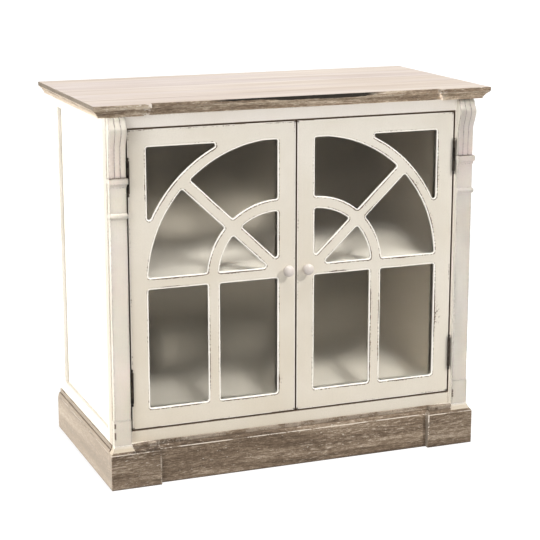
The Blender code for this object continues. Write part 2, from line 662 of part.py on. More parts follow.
for side, sx in (("left", -1), ("right", 1)):
    for level, zlow in zip(("top", "bottom"), HINGE_Z):
        leaf("hinge_leaf_case_%s_%s" % (side, level), sx, zlow, 0.0017, 0.0025, (0, 2, 4), BRONZE)
        leaf("hinge_leaf_door_%s_%s" % (side, level), sx, zlow, 0.0005, 0.0013, (1, 3), BRONZE, parent=hinge_axis[side])
        # pin with a ball finial at each end
        ball = [(0.0029, 0.0004), (0.0031, 0.0012), (0.0022, 0.0022), (0.0014, 0.0030)]
        for i in range(1, 6):
            a = math.radians(-60 + 150 * i / 5)
            ball.append((0.0026 * math.cos(a) if i < 5 else 0.0, 0.0056 + 0.0026 * math.sin(a)))
        prof = [(r, -h) for r, h in reversed(ball)] + [(HINGE_PIN, -0.0004), (HINGE_PIN, HINGE_H + 0.0004)]
        prof += [(r, HINGE_H + h) for r, h in ball]

        def upright(p, q, h, sx=sx, zlow=zlow):
            return (sx * HINGE_X + p, HINGE_Y + q, zlow + h)

        turned("hinge_pin_%s_%s" % (side, level), prof, upright, 16, BRONZE, round_angle=50)
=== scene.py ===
"""Looks for the display cabinet: painted case and doors, washed wood top and plinth, glass, knobs and hinges."""
import json
import math
import random

import bmesh
import bpy
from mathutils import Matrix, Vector, noise as mnoise
from mathutils.geometry import tessellate_polygon

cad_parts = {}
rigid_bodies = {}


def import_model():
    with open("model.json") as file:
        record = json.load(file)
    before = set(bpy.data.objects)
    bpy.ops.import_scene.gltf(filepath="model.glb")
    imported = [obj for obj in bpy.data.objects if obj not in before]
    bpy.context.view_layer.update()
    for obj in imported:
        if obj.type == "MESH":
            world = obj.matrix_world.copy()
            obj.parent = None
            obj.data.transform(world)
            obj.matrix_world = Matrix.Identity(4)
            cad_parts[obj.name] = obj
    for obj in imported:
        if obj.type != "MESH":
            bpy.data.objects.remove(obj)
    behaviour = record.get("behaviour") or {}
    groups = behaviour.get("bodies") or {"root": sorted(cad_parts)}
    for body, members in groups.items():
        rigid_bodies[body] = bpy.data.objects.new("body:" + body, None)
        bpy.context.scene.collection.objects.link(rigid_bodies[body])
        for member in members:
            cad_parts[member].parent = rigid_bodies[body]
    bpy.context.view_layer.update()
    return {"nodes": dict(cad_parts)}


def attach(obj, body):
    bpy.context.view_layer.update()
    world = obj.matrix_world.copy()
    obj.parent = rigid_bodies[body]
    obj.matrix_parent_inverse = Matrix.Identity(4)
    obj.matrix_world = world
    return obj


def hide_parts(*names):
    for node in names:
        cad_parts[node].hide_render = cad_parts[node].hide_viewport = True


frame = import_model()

scene = bpy.context.scene
nodes = frame["nodes"]

# ------------------------------------------------------------------ camera, light, floor
cam_data = bpy.data.cameras.new("camera")
cam = bpy.data.objects.new("camera", cam_data)
scene.collection.objects.link(cam)
cam.location = (-1.2663, -3.2660, 1.2184)
cam.rotation_euler = (math.radians(90 - 13.3751), 0.0, math.radians(-21.4917))
cam_data.sensor_width = 36.0
cam_data.lens = 1614.84 * 36.0 / 540.0
cam_data.clip_start, cam_data.clip_end = 0.05, 200.0
scene.camera = cam

scene.view_settings.view_transform = "Standard"
scene.view_settings.look = "None"
scene.view_settings.exposure = 0.0
scene.view_settings.gamma = 1.0
scene.cycles.use_denoising = True
scene.cycles.max_bounces = 10
scene.cycles.diffuse_bounces = 5
scene.cycles.glossy_bounces = 4
scene.cycles.transparent_max_bounces = 12
scene.cycles.sample_clamp_indirect = 6.0

ABOVE, BELOW = 0.18, 0.70  # the studio's brightness over and under the horizon
world = bpy.data.worlds.new("studio")
scene.world = world
world.use_nodes = True
wt = world.node_tree
where = wt.nodes.new("ShaderNodeTexCoord")
split = wt.nodes.new("ShaderNodeSeparateXYZ")
step = wt.nodes.new("ShaderNodeMapRange")
step.interpolation_type = "SMOOTHSTEP"
for socket, value in zip(step.inputs[1:5], (-0.25, 0.25, BELOW, ABOVE)):
    socket.default_value = value
wt.links.new(where.outputs["Generated"], split.inputs[0])
wt.links.new(split.outputs[2], step.inputs[0])
wt.links.new(step.outputs[0], wt.nodes["Background"].inputs["Strength"])
wt.nodes["Background"].inputs["Color"].default_value = (1.0, 0.985, 0.965, 1.0)
# seen directly, the backdrop is plain white
paper = wt.nodes.new("ShaderNodeBackground")
paper.inputs["Color"].default_value = (1.0, 1.0, 1.0, 1.0)
paper.inputs["Strength"].default_value = 1.02
seen = wt.nodes.new("ShaderNodeLightPath")
either = wt.nodes.new("ShaderNodeMixShader")
wt.links.new(seen.outputs["Is Camera Ray"], either.inputs[0])
wt.links.new(wt.nodes["Background"].outputs[0], either.inputs[1])
wt.links.new(paper.outputs[0], either.inputs[2])
wt.links.new(either.outputs[0], wt.nodes["World Output"].inputs["Surface"])


def sun(name, towards, power, spread_deg, colour):
    """A distant soft light. towards is the direction from the cabinet to the light."""
    data = bpy.data.lights.new(name, "SUN")
    data.energy = power
    data.angle = math.radians(spread_deg)
    data.color = colour
    ob = bpy.data.objects.new(name, data)
    scene.collection.objects.link(ob)
    ob.rotation_euler = Vector(towards).to_track_quat("Z", "Y").to_euler()
    return ob


def aim(azimuth, elevation):
    """0 is straight in front of the cabinet, positive to its right."""
    a, e = math.radians(azimuth), math.radians(elevation)
    return (math.sin(a) * math.cos(e), -math.cos(a) * math.cos(e), math.sin(e))


side_key = sun("key_side", aim(-85, 19), 5.6, 18, (1.0, 0.99, 0.97))
post_key = sun("key_posts", aim(-80, 19), 4.4, 24, (1.0, 0.99, 0.97))
post_soft = sun("key_posts_right", aim(-80, 19), 2.15, 24, (1.0, 0.99, 0.97))
front_key = sun("key_front", aim(-50, 19), 1.35, 26, (1.0, 0.99, 0.97))
from_right = sun("front_right", aim(34, 38), 1.90, 5, (1.0, 0.975, 0.94))
sun("above", aim(0, 75), 1.75, 30, (1.0, 0.99, 0.975))
from_behind = sun("behind_right", aim(135, 14), 3.0, 20, (1.0, 0.99, 0.975))
on_shelf = sun("through_glass_high", aim(-7, 42), 5.9, 13, (1.0, 0.985, 0.96))
on_boards = sun("through_glass", aim(-7, 42), 3.1, 8, (1.0, 0.985, 0.96))
on_back = sun("through_glass_low", aim(30, 24.5), 4.4, 7, (1.0, 0.985, 0.96))


# ------------------------------------------------------------------ node graphs
class Graph:
    """Builds a material's nodes. Sockets and plain values are both accepted as inputs."""

    def __init__(self, name, rough=0.5, metallic=0.0, spec=0.5):
        self.m = bpy.data.materials.new(name)
        self.m.use_nodes = True
        self.t = self.m.node_tree
        self.t.nodes.clear()
        self.out = self.t.nodes.new("ShaderNodeOutputMaterial")
        self.p = self.t.nodes.new("ShaderNodeBsdfPrincipled")
        self.t.links.new(self.p.outputs["BSDF"], self.out.inputs["Surface"])
        self.p.inputs["Roughness"].default_value = rough
        self.p.inputs["Metallic"].default_value = metallic
        self.p.inputs["Specular IOR Level"].default_value = spec
        self._co = None

    def put(self, sock, v):
        if isinstance(v, bpy.types.NodeSocket):
            self.t.links.new(v, sock)
        elif isinstance(v, (tuple, list)) and len(v) == 3 and sock.type == "RGBA":
            sock.default_value = (*v, 1.0)
        else:
            sock.default_value = v

    def n(self, kind, **props):
        node = self.t.nodes.new("ShaderNode" + kind)
        for k, v in props.items():
            setattr(node, k, v)
        return node

    def co(self):
        if self._co is None:
            self._co = self.n("TexCoord")
        return self._co.outputs["Object"]

    def normal(self):
        self.co()
        return self._co.outputs["Normal"]

    def math(self, op, a, b=None, c=None, clamp=False):
        node = self.n("Math", operation=op, use_clamp=clamp)
        self.put(node.inputs[0], a)
        if b is not None:
            self.put(node.inputs[1], b)
        if c is not None:
            self.put(node.inputs[2], c)
        return node.outputs[0]

    def vec(self, op, a, b=None, out=0):
        node = self.n("VectorMath", operation=op)
        self.put(node.inputs[0], a)
        if b is not None:
            self.put(node.inputs[1], b)
        return node.outputs[out]

    def scale(self, v, s):
        return self.vec("MULTIPLY", v, s)

    def xyz(self, v):
        node = self.n("SeparateXYZ")
        self.put(node.inputs[0], v)
        return node.outputs[0], node.outputs[1], node.outputs[2]

    def join(self, x, y, z):
        node = self.n("CombineXYZ")
        for s, v in zip(node.inputs, (x, y, z)):
            self.put(s, v)
        return node.outputs[0]

    def noise(self, v, scale, detail=2.0, rough=0.5, warp=0.0):
        node = self.n("TexNoise")
        self.put(node.inputs["Vector"], v)
        self.put(node.inputs["Scale"], scale)
        self.put(node.inputs["Detail"], detail)
        self.put(node.inputs["Roughness"], rough)
        self.put(node.inputs["Distortion"], warp)
        return node.outputs[0]

    def cells(self, v, scale):
        node = self.n("TexVoronoi")
        self.put(node.inputs["Vector"], v)
        self.put(node.inputs["Scale"], scale)
        return node.outputs["Distance"]

    def span(self, v, lo, hi, to0=0.0, to1=1.0, smooth=True):
        node = self.n("MapRange", interpolation_type="SMOOTHSTEP" if smooth else "LINEAR", clamp=True)
        for s, x in zip(node.inputs, (v, lo, hi, to0, to1)):
            self.put(s, x)
        return node.outputs[0]

    def band(self, v, lo, a, b, hi):
        """1 between a and b, falling to 0 at lo and hi."""
        return self.math("MULTIPLY", self.span(v, lo, a), self.span(v, b, hi, 1.0, 0.0))

    def mix(self, f, a, b, blend="MIX"):
        node = self.n("Mix", data_type="RGBA", blend_type=blend, clamp_factor=True)
        self.put(node.inputs[0], f)
        self.put(node.inputs[6], a)
        self.put(node.inputs[7], b)
        return node.outputs[2]

    def lerp(self, f, a, b):
        node = self.n("Mix", data_type="FLOAT", clamp_factor=True)
        self.put(node.inputs[0], f)
        self.put(node.inputs[2], a)
        self.put(node.inputs[3], b)
        return node.outputs[0]

    def ramp(self, v, stops):
        node = self.n("ValToRGB")
        els = node.color_ramp.elements
        while len(els) < len(stops):
            els.new(0.5)
        for e, (pos, colour) in zip(els, stops):
            e.position = pos
            e.color = (*colour, 1.0)
        self.put(node.inputs[0], v)
        return node.outputs[0]

    def edge(self, radius=0.003, samples=6):
        """How much the surface turns within the radius: 0 on the flat, about 0.3 on an arris."""
        bev = self.n("Bevel", samples=samples)
        self.put(bev.inputs["Radius"], radius)
        geo = self.n("NewGeometry")
        d = self.vec("DOT_PRODUCT", bev.outputs[0], geo.outputs["Normal"], out=1)
        return self.math("SUBTRACT", 1.0, d, clamp=True)

    def bump(self, height, strength=0.3, distance=0.001, normal=None):
        node = self.n("Bump")
        self.put(node.inputs["Strength"], strength)
        self.put(node.inputs["Distance"], distance)
        self.put(node.inputs["Height"], height)
        if normal is not None:
            self.put(node.inputs["Normal"], normal)
        self.put(self.p.inputs["Normal"], node.outputs[0])
        return node.outputs[0]

    def done(self, colour, rough=None):
        self.put(self.p.inputs["Base Color"], colour)
        if rough is not None:
            self.put(self.p.inputs["Roughness"], rough)
        return self.m


CREAM = (0.682, 0.650, 0.590)
CREAM_LIGHT = (0.88, 0.85, 0.795)
BARE = (0.055, 0.038, 0.026)


STAIN = (0.40, 0.355, 0.290)


def make_paint(name, wear=1.0, base=CREAM, groove=False, strokes=(60.0, 60.0, 7.0), stained_inside=False, lip=False, jamb=False):
    g = Graph(name, rough=0.5, spec=0.35)
    p = g.co()
    broad = g.noise(p, 5.0, 3.0, 0.55)
    mottle = g.noise(p, 55.0, 4.0, 0.6)
    grit = g.noise(p, 420.0, 2.0, 0.6)
    brush = g.noise(g.scale(p, strokes), 6.0, 3.0, 0.6, 0.3)
    warm = tuple(c * k for c, k in zip(base, (0.950, 0.935, 0.905)))
    pale = tuple(min(1.0, c * k) for c, k in zip(base, (1.03, 1.035, 1.045)))
    col = g.mix(g.span(broad, 0.35, 0.68), warm, pale)
    col = g.mix(g.span(mottle, 0.30, 0.75, 0.0, 0.30), col, tuple(c * 0.95 for c in base))
    col = g.mix(g.span(grit, 0.40, 0.72, 0.0, 0.42), col, tuple(c * 0.82 for c in base))
    col = g.mix(g.span(brush, 0.45, 0.75, 0.0, 0.22), col, tuple(min(1, c * 1.05) for c in base))
    # painted shade: the paint is darker and warmer towards the lower left, as the light falls off from the upper right;
    # less on the carved posts, none on the inside paint
    tx, ty, tz = g.xyz(p)
    most = 0.0 if stained_inside else 0.6 if groove else 1.0
    painted_falloff_shade = g.span(g.math("ADD", g.math("MULTIPLY", tx, 0.45), tz), -0.05, 0.98, most, 0.0, False)
    col = g.mix(painted_falloff_shade, col, (0.915, 0.870, 0.800), "MULTIPLY")
    # painted shade: a little darker still near the floor
    if not stained_inside:
        col = g.mix(g.span(tz, 0.06, 0.17, 1.0, 0.0), col, (0.93, 0.925, 0.920), "MULTIPLY")
    patch = g.noise(p, 13.0, 2.0, 0.5)
    fine = g.noise(p, 260.0, 3.0, 0.6)
    ragged = g.noise(p, 620.0, 2.0, 0.6)
    brown = g.mix(fine, BARE, (0.16, 0.11, 0.075))
    if lip:
        # lip: 0 on the flat, 1 where the arris begins, 2 where it ends, 3 at the back of the edge
        lip_at = g.n("Attribute", attribute_name="lip").outputs["Fac"]
        worn = g.n("Attribute", attribute_name="worn").outputs["Fac"]
        gap = g.n("Attribute", attribute_name="gap").outputs["Fac"]
        at = g.math("ADD", lip_at, g.span(ragged, 0.3, 0.7, -0.07, 0.07, False))
        # pale arris and inner walls, partly rubbed paint and partly painted highlight; less on the door's outer edges
        col = g.mix(g.math("MULTIPLY", g.span(at, 0.66, 0.80), g.math("SUBTRACT", 1.0, gap)), col, CREAM_LIGHT)
        # painted shadow of the corbel, darker near the top hinge
        col = g.mix(g.math("MULTIPLY", g.span(tx, -0.300, -0.362), g.span(tz, 0.56, 0.73)), col, (0.84, 0.83, 0.82), "MULTIPLY")
        # painted shade on the inner walls where they meet the glass
        col = g.mix(g.math("MULTIPLY", g.span(lip_at, 2.05, 2.75), 0.85), col, (0.30, 0.26, 0.21))
        # the brown undercoat shows as thin broken lines beside the arris
        wide = g.math("MULTIPLY", g.math("ADD", worn, 0.20), g.span(fine, 0.35, 0.65, 0.08, 0.80, False))
        line = g.math("MULTIPLY", g.span(at, g.math("SUBTRACT", 0.58, wide), g.math("SUBTRACT", 0.64, wide)), g.span(at, 0.74, 0.84, 1.0, 0.0))
        dash = g.span(g.math("ADD", worn, g.span(fine, 0.3, 0.7, -0.30, 0.30, False)), 0.20, 0.36, 0.0, 1.0)
        bare_and_shade = g.math("MULTIPLY", line, g.math("MAXIMUM", dash, 0.06))
        # painted shade in the shut lines: dark, most along the top and the bottom of the door
        shut_shade = g.span(at, g.math("SUBTRACT", 1.50, g.math("MULTIPLY", gap, 0.74)), g.math("SUBTRACT", 2.00, g.math("MULTIPLY", gap, 1.08)))
        # down the upright edges it fades out towards the back
        shut_shade = g.math("MULTIPLY", shut_shade, g.math("MAXIMUM", g.span(at, 2.35, 2.60, 1.0, 0.0), g.span(gap, 0.60, 0.90)))
        bare_and_shade = g.math("MAXIMUM", bare_and_shade, g.math("MULTIPLY", g.span(gap, 0.1, 0.4), shut_shade))
    else:
        e = g.edge(0.0030)
        # rubbed arris: the paint goes pale there
        rub = g.math("MULTIPLY", g.span(e, 0.05, 0.17), g.span(patch, 0.30, 0.55, 0.45, 1.0))
        col = g.mix(g.math("MULTIPLY", rub, 0.9), col, CREAM_LIGHT)
        line = g.band(g.math("ADD", e, g.span(ragged, 0.3, 0.7, -0.006, 0.006, False)), 0.012, 0.022, 0.060, 0.095)
        where = g.span(g.math("ADD", patch, g.span(fine, 0.3, 0.7, -0.13, 0.13, False)), 0.45, 0.53)
        bare_and_shade = g.math("MULTIPLY", g.math("MULTIPLY", line, where), wear, clamp=True)
        chips = g.math("MULTIPLY", g.span(e, 0.07, 0.12), g.span(g.math("ADD", g.noise(p, 30.0, 2.0, 0.5), g.math("MULTIPLY", fine, 0.3)), 0.86, 0.90))
        bare_and_shade = g.math("MAXIMUM", bare_and_shade, g.math("MULTIPLY", chips, 0.8 * wear))
    if jamb:
        px, py, pz = g.xyz(p)
        nx, ny, nz = g.xyz(g.normal())
        # painted light: lighter and cooler above the doors, lifting the shade under the cornice
        col = g.mix(g.span(pz, 0.7505, 0.7520), col, (1.06, 1.06, 1.10), "MULTIPLY")
        # painted shade in the shut gaps: the jamb faces inside the door opening and a thin rim round it go dark
        facing = g.span(g.math("ABSOLUTE", ny), 0.55, 0.80, 1.0, 0.0)
        jamb_shade = g.math("MULTIPLY", g.span(g.math("ABSOLUTE", px), 0.3686, 0.3695, 1.0, 0.0), g.band(pz, 0.1172, 0.1180, 0.7493, 0.7501))
        bare_and_shade = g.math("MAXIMUM", bare_and_shade, g.math("MULTIPLY", facing, jamb_shade))
        pz = g.math("ADD", pz, g.span(ragged, 0.3, 0.7, -0.0004, 0.0004, False))
        rim_shade = g.math("MULTIPLY", g.span(g.math("ABSOLUTE", px), 0.3686, 0.3695, 1.0, 0.0), g.band(pz, 0.1165, 0.1172, 0.7500, 0.7507))
        bare_and_shade = g.math("MAXIMUM", bare_and_shade, rim_shade)
        # a thin broken line down the outer edge, where the side meets the face frame
        seam = g.math("MULTIPLY", g.span(g.math("ABSOLUTE", px), 0.4084, 0.4090), g.span(py, -0.1812, -0.1804))
        bare_and_shade = g.math("MAXIMUM", bare_and_shade, g.math("MULTIPLY", seam, g.span(g.math("ADD", patch, g.span(fine, 0.3, 0.7, -0.12, 0.12, False)), 0.36, 0.52, 0.15, 0.8)))
    if groove:
        fx, fy, fz = g.xyz(p)
        # painted shade: the cream flare over the plinth blocks is darker low down
        col = g.mix(g.span(fz, 0.0850, 0.0920, 1.0, 0.0), col, (0.73, 0.680, 0.610), "MULTIPLY")
        flecks = g.span(fine, 0.36, 0.48, 0.25, 1.0)
        on_face = g.span(fy, -0.2118, -0.2124)
        at_left = g.math("MULTIPLY", g.band(fx, -0.4077, -0.4069, -0.4050, -0.4040), g.math("MAXIMUM", g.band(fz, 0.1310, 0.1325, 0.1415, 0.1435), g.band(fz, 0.1040, 0.1100, 0.1215, 0.1240)))
        at_right = g.math("MULTIPLY", g.band(fx, 0.3710, 0.3719, 0.3745, 0.3756), g.band(fz, 0.1075, 0.1100, 0.1265, 0.1295))
        bare_and_shade = g.math("MAXIMUM", bare_and_shade, g.math("MULTIPLY", g.math("MULTIPLY", g.math("MAXIMUM", at_left, at_right), on_face), flecks))
        att = g.n("Attribute", attribute_name="groove")
        gr = g.span(g.math("ADD", att.outputs["Fac"], g.span(fine, 0.3, 0.7, -0.22, 0.22, False)), 0.45, 0.70)
        bare_and_shade = g.math("MAXIMUM", bare_and_shade, g.math("MULTIPLY", gr, 0.85))
    col = g.mix(bare_and_shade, col, brown)
    if stained_inside:
        nx, ny, nz = g.xyz(g.normal())
        px, py, pz = g.xyz(p)
        inward = g.span(g.math("MULTIPLY", nx, g.math("SIGN", px)), -0.6, -0.4, 1.0, 0.0)
        # painted light: the step around the left panel is made lighter, as if lit from the side
        col = g.mix(g.math("MULTIPLY", g.span(ny, -0.70, -0.90), g.span(px, -0.40, -0.402)), col, (1.26, 1.28, 1.32), "MULTIPLY")
        stain = g.mix(g.span(g.noise(g.scale(p, (40.0, 6.0, 40.0)), 1.0, 4.0, 0.6), 0.3, 0.7), tuple(c * 0.8 for c in STAIN), tuple(c * 1.2 for c in STAIN))
        # painted light and shade: the inside stain is lighter below the shelf and darker above it
        stain = g.mix(g.span(pz, 0.40, 0.43), g.mix(1.0, stain, (1.36, 1.36, 1.38), "MULTIPLY"), g.mix(1.0, stain, (0.86, 0.86, 0.88), "MULTIPLY"))
        col = g.mix(inward, col, stain)
    h = g.math("ADD", g.math("MULTIPLY", brush, 0.5), g.math("MULTIPLY", grit, 0.25))
    h = g.math("SUBTRACT", h, g.math("MULTIPLY", bare_and_shade, 1.2))
    g.bump(h, 0.16, 0.0009)
    return g.done(col, g.lerp(bare_and_shade, g.span(mottle, 0.3, 0.7, 0.42, 0.56), 0.8))


def grain_axes(g, p, by_normal):
    """Coordinates with the grain along the first one."""
    if not by_normal:
        return p
    x, y, z = g.xyz(p)
    nx, ny, nz = g.xyz(g.normal())
    side = g.span(g.math("ABSOLUTE", nx), 0.80, 0.86)
    return g.join(g.lerp(side, x, g.math("ADD", y, 3.1)), g.lerp(side, y, x), z)


def make_driftwood(name, by_normal=True, light=1.0, plinth=False, stain=False):
    g = Graph(name, rough=0.7, spec=0.25)
    p = g.co()
    px, py, pz = g.xyz(p)
    nx, ny, nz = g.xyz(g.normal())
    q = grain_axes(g, p, by_normal)
    warp = g.noise(g.scale(q, (1.7, 4.0, 9.0)), 1.0, 2.0, 0.5)
    x, y, z = g.xyz(q)
    lift = g.math("MULTIPLY", g.math("SUBTRACT", warp, 0.5), 0.034)
    r = g.join(x, g.math("ADD", y, lift), g.math("ADD", z, lift))
    bands = g.noise(g.scale(r, (2.2, 24.0, 27.0)), 1.0, 3.0, 0.55)
    streak = g.noise(g.scale(r, (8.0, 90.0, 120.0)), 1.0, 4.0, 0.65)
    fibre = g.noise(g.scale(r, (70.0, 330.0, 430.0)), 1.0, 3.0, 0.65)
    speck = g.noise(g.scale(r, (240.0, 420.0, 420.0)), 1.0, 2.0, 0.6)
    broad = g.noise(g.scale(q, (4.0, 9.0, 12.0)), 1.0, 3.0, 0.55)
    mixed = g.math("ADD", g.math("MULTIPLY", bands, 0.35), g.math("MULTIPLY", streak, 0.24))
    mixed = g.math("ADD", mixed, g.math("ADD", g.math("MULTIPLY", fibre, 0.28), g.math("MULTIPLY", speck, 0.13)))
    c0, c1, c2, c3, c4 = (0.062, 0.043, 0.029), (0.128, 0.090, 0.060), (0.195, 0.142, 0.098), (0.345, 0.275, 0.205), (0.560, 0.480, 0.395)
    col = g.ramp(mixed, [(at, tuple(v * light for v in c)) for at, c in ((0.390, c0), (0.455, c1), (0.510, c2), (0.568, c3), (0.655, c4))])
    # growth lines, thin and dark, and lime left in the open grain
    rings = g.math("FRACT", g.math("MULTIPLY", g.noise(g.scale(r, (1.3, 9.0, 15.0)), 1.0, 2.0, 0.5), 17.0))
    thin = g.math("MULTIPLY", g.span(rings, 0.0, 0.13, 1.0, 0.0), g.span(broad, 0.40, 0.58, 0.15, 1.0))
    col = g.mix(g.math("MULTIPLY", thin, 0.50), col, tuple(v * light for v in c0))
    lime = g.math("MULTIPLY", g.span(fibre, 0.54, 0.70), g.span(broad, 0.44, 0.62, 0.0, 0.55))
    col = g.mix(lime, col, (0.56, 0.485, 0.40))
    chalk = g.span(g.noise(g.scale(r, (95.0, 260.0, 300.0)), 1.0, 2.0, 0.6), 0.67, 0.72)
    col = g.mix(g.math("MULTIPLY", chalk, 0.55), col, (0.68, 0.62, 0.54))
    e = g.edge(0.0034)
    fine = g.noise(p, 260.0, 3.0, 0.65)
    patch = g.noise(p, 22.0, 3.0, 0.6)
    worn = g.math("MULTIPLY", g.span(e, 0.04, 0.16), g.span(g.math("ADD", g.math("MULTIPLY", patch, 0.7), g.math("MULTIPLY", fine, 0.3)), 0.42, 0.60))
    col = g.mix(g.math("MULTIPLY", worn, 0.60), col, (0.66, 0.59, 0.50))
    ragged = g.span(g.math("ADD", patch, g.span(fine, 0.3, 0.7, -0.12, 0.12, False)), 0.40, 0.56)
    if plinth:
        # painted shade: the plinth's front darkens towards the left, and the blocks are darker still
        on_front = g.span(g.math("ABSOLUTE", px), 0.3088, 0.3096, 1.0, 0.0)
        shade_gain = g.math("ADD", 1.0, g.math("MULTIPLY", on_front, g.span(px, -0.31, 0.25, -0.16, -0.03, False)))
        shade_gain = g.math("SUBTRACT", shade_gain, g.math("MULTIPLY", g.span(px, -0.3088, -0.3096), 0.09))
        shade_gain = g.math("SUBTRACT", shade_gain, g.math("MULTIPLY", g.span(px, 0.3088, 0.3096), 0.15))
        col = g.scale(col, shade_gain)
        # the lip under the case and the arrises are pale, partly worn and partly painted highlight
        bright = g.span(nx, -0.85, -0.55)
        lip = g.math("MULTIPLY", g.span(pz, 0.0842, 0.0850), g.span(ragged, 0.0, 1.0, 0.0, 0.30))
        col = g.mix(g.math("MULTIPLY", lip, bright), col, (0.50, 0.44, 0.365))
        arris = g.band(pz, 0.0742, 0.0751, 0.0756, 0.0766)
        upright = g.math("MULTIPLY", g.band(g.math("ABSOLUTE", px), 0.3084, 0.3094, 0.3116, 0.3135), g.span(ragged, 0.2, 1.0, 0.0, 1.0))
        upright = g.math("MULTIPLY", upright, g.span(px, -0.1, 0.1, 0.30, 0.95))
        arris = g.math("MAXIMUM", g.math("MULTIPLY", arris, g.span(ragged, 0.0, 1.0, 0.10, 0.70)), upright)
        col = g.mix(g.math("MULTIPLY", arris, bright), col, (0.70, 0.63, 0.55))
        # painted shade in the crease between the bead and the lip
        crease = g.band(pz, 0.0828, 0.0838, 0.0846, 0.0852)
        col = g.mix(g.math("MULTIPLY", crease, 0.55), col, c0)
        # painted shade along the foot, where it meets the floor
        col = g.mix(g.span(pz, 0.0014, 0.0042, 0.65, 0.0), col, c0)
    if stain:
        col = g.scale(col, g.span(px, -0.44, 0.44, 1.06, 1.50, False))
        col = g.mix(1.0, col, (0.960, 0.985, 1.0), "MULTIPLY")
        # a dark stained stretch along the upper front edge, and pale scrapes where the front steps back
        low = g.math("SUBTRACT", 0.7952, g.math("MULTIPLY", g.band(px, -0.09, -0.02, 0.13, 0.20), 0.0036))
        low = g.math("ADD", low, g.span(g.noise(g.scale(p, (30.0, 60.0, 200.0)), 1.0, 3.0, 0.6), 0.35, 0.65, -0.0010, 0.0010, False))
        m = g.math("MULTIPLY", g.band(px, -0.20, -0.15, 0.15, 0.20), g.span(pz, low, g.math("ADD", low, 0.0012)))
        m = g.math("MULTIPLY", m, g.span(py, -0.20, -0.205))
        col = g.mix(g.math("MULTIPLY", m, 0.96), col, (0.011, 0.009, 0.007))
        scrape = g.math("MULTIPLY", g.band(g.math("ABSOLUTE", px), 0.3150, 0.3185, 0.3290, 0.3390), g.span(py, -0.19, -0.20))
        scrape = g.math("MULTIPLY", scrape, g.span(g.noise(g.scale(p, (150.0, 150.0, 260.0)), 1.0, 3.0, 0.6), 0.44, 0.56))
        col = g.mix(g.math("MULTIPLY", scrape, g.span(px, -0.1, 0.1, 0.75, 0.32)), col, (0.76, 0.70, 0.64))
    # painted light: the left-facing faces are paler and lighter, standing in for the strong light from the left
    lit_side_pale = g.span(nx, -0.55, -0.85)
    col = g.mix(g.math("MULTIPLY", lit_side_pale, 0.60), col, (0.33, 0.285, 0.235))
    col = g.scale(col, g.lerp(lit_side_pale, 1.0, 1.06 if plinth else 1.50))
    h = g.math("ADD", g.math("MULTIPLY", streak, 0.6), g.math("MULTIPLY", fibre, 0.6))
    h = g.math("SUBTRACT", h, g.math("MULTIPLY", thin, 0.4))
    g.bump(h, 0.40, 0.0012)
    return g.done(col, g.span(streak, 0.3, 0.7, 0.62, 0.84))


def make_whitewash(name):
    g = Graph(name, rough=0.7, spec=0.18)
    p = g.co()
    x, y, z = g.xyz(p)
    plank = g.math("DIVIDE", g.math("ADD", y, 0.2250), 0.0900)
    row = g.math("FLOOR", plank)
    tone = g.n("TexWhiteNoise", noise_dimensions="1D")
    g.put(tone.inputs["W"], g.math("ADD", row, 7.0))
    shift = tone.outputs["Value"]
    q = g.join(g.math("ADD", x, g.math("MULTIPLY", shift, 3.0)), y, g.math("MULTIPLY", row, 0.37))
    warp = g.noise(g.scale(q, (1.4, 5.0, 5.0)), 1.4, 2.0, 0.5)
    qx, qy, qz = g.xyz(q)
    q2 = g.join(qx, g.math("ADD", qy, g.math("MULTIPLY", g.math("SUBTRACT", warp, 0.5), 0.05)), qz)
    bands = g.noise(g.scale(q2, (1.6, 34.0, 20.0)), 1.0, 5.0, 0.6)
    streak = g.noise(g.scale(q2, (6.0, 190.0, 60.0)), 1.0, 4.0, 0.6)
    pores = g.noise(g.scale(q2, (40.0, 800.0, 200.0)), 1.0, 2.0, 0.5)
    broad = g.noise(p, 2.4, 2.0, 0.5)
    col = g.ramp(g.math("ADD", g.math("MULTIPLY", bands, 0.65), g.math("MULTIPLY", streak, 0.35)), [
        (0.30, (0.400, 0.300, 0.235)), (0.43, (0.620, 0.520, 0.455)), (0.53, (0.745, 0.655, 0.595)), (0.66, (0.860, 0.800, 0.755)),
    ])
    tint = g.mix(g.span(g.noise(g.scale(q2, (1.3, 9.0, 9.0)), 1.0, 2.0, 0.5), 0.38, 0.62), (0.770, 0.715, 0.725), (0.770, 0.690, 0.595))
    col = g.mix(0.36, col, tint)
    col = g.mix(g.span(broad, 0.38, 0.66, 0.0, 0.24), col, (0.600, 0.490, 0.415))
    col = g.mix(g.span(pores, 0.60, 0.76, 0.0, 0.30), col, (0.27, 0.20, 0.16))
    frac = g.math("FRACT", plank)
    seam = g.math("MAXIMUM", g.span(frac, 0.0, 0.012, 1.0, 0.0), g.span(frac, 0.988, 1.0))
    col = g.mix(g.math("MULTIPLY", seam, 0.35), col, (0.38, 0.28, 0.22))
    e = g.edge(0.0040)
    col = g.mix(g.math("MULTIPLY", g.span(e, 0.015, 0.16), g.span(g.noise(p, 30.0, 3.0, 0.6), 0.38, 0.60, 0.2, 0.9)), col, (0.230, 0.170, 0.125))
    h = g.math("SUBTRACT", g.math("ADD", g.math("MULTIPLY", streak, 0.6), g.math("MULTIPLY", bands, 0.3)), g.math("MULTIPLY", seam, 0.8))
    g.bump(h, 0.22, 0.0009)
    return g.done(col, g.span(streak, 0.3, 0.7, 0.58, 0.76))


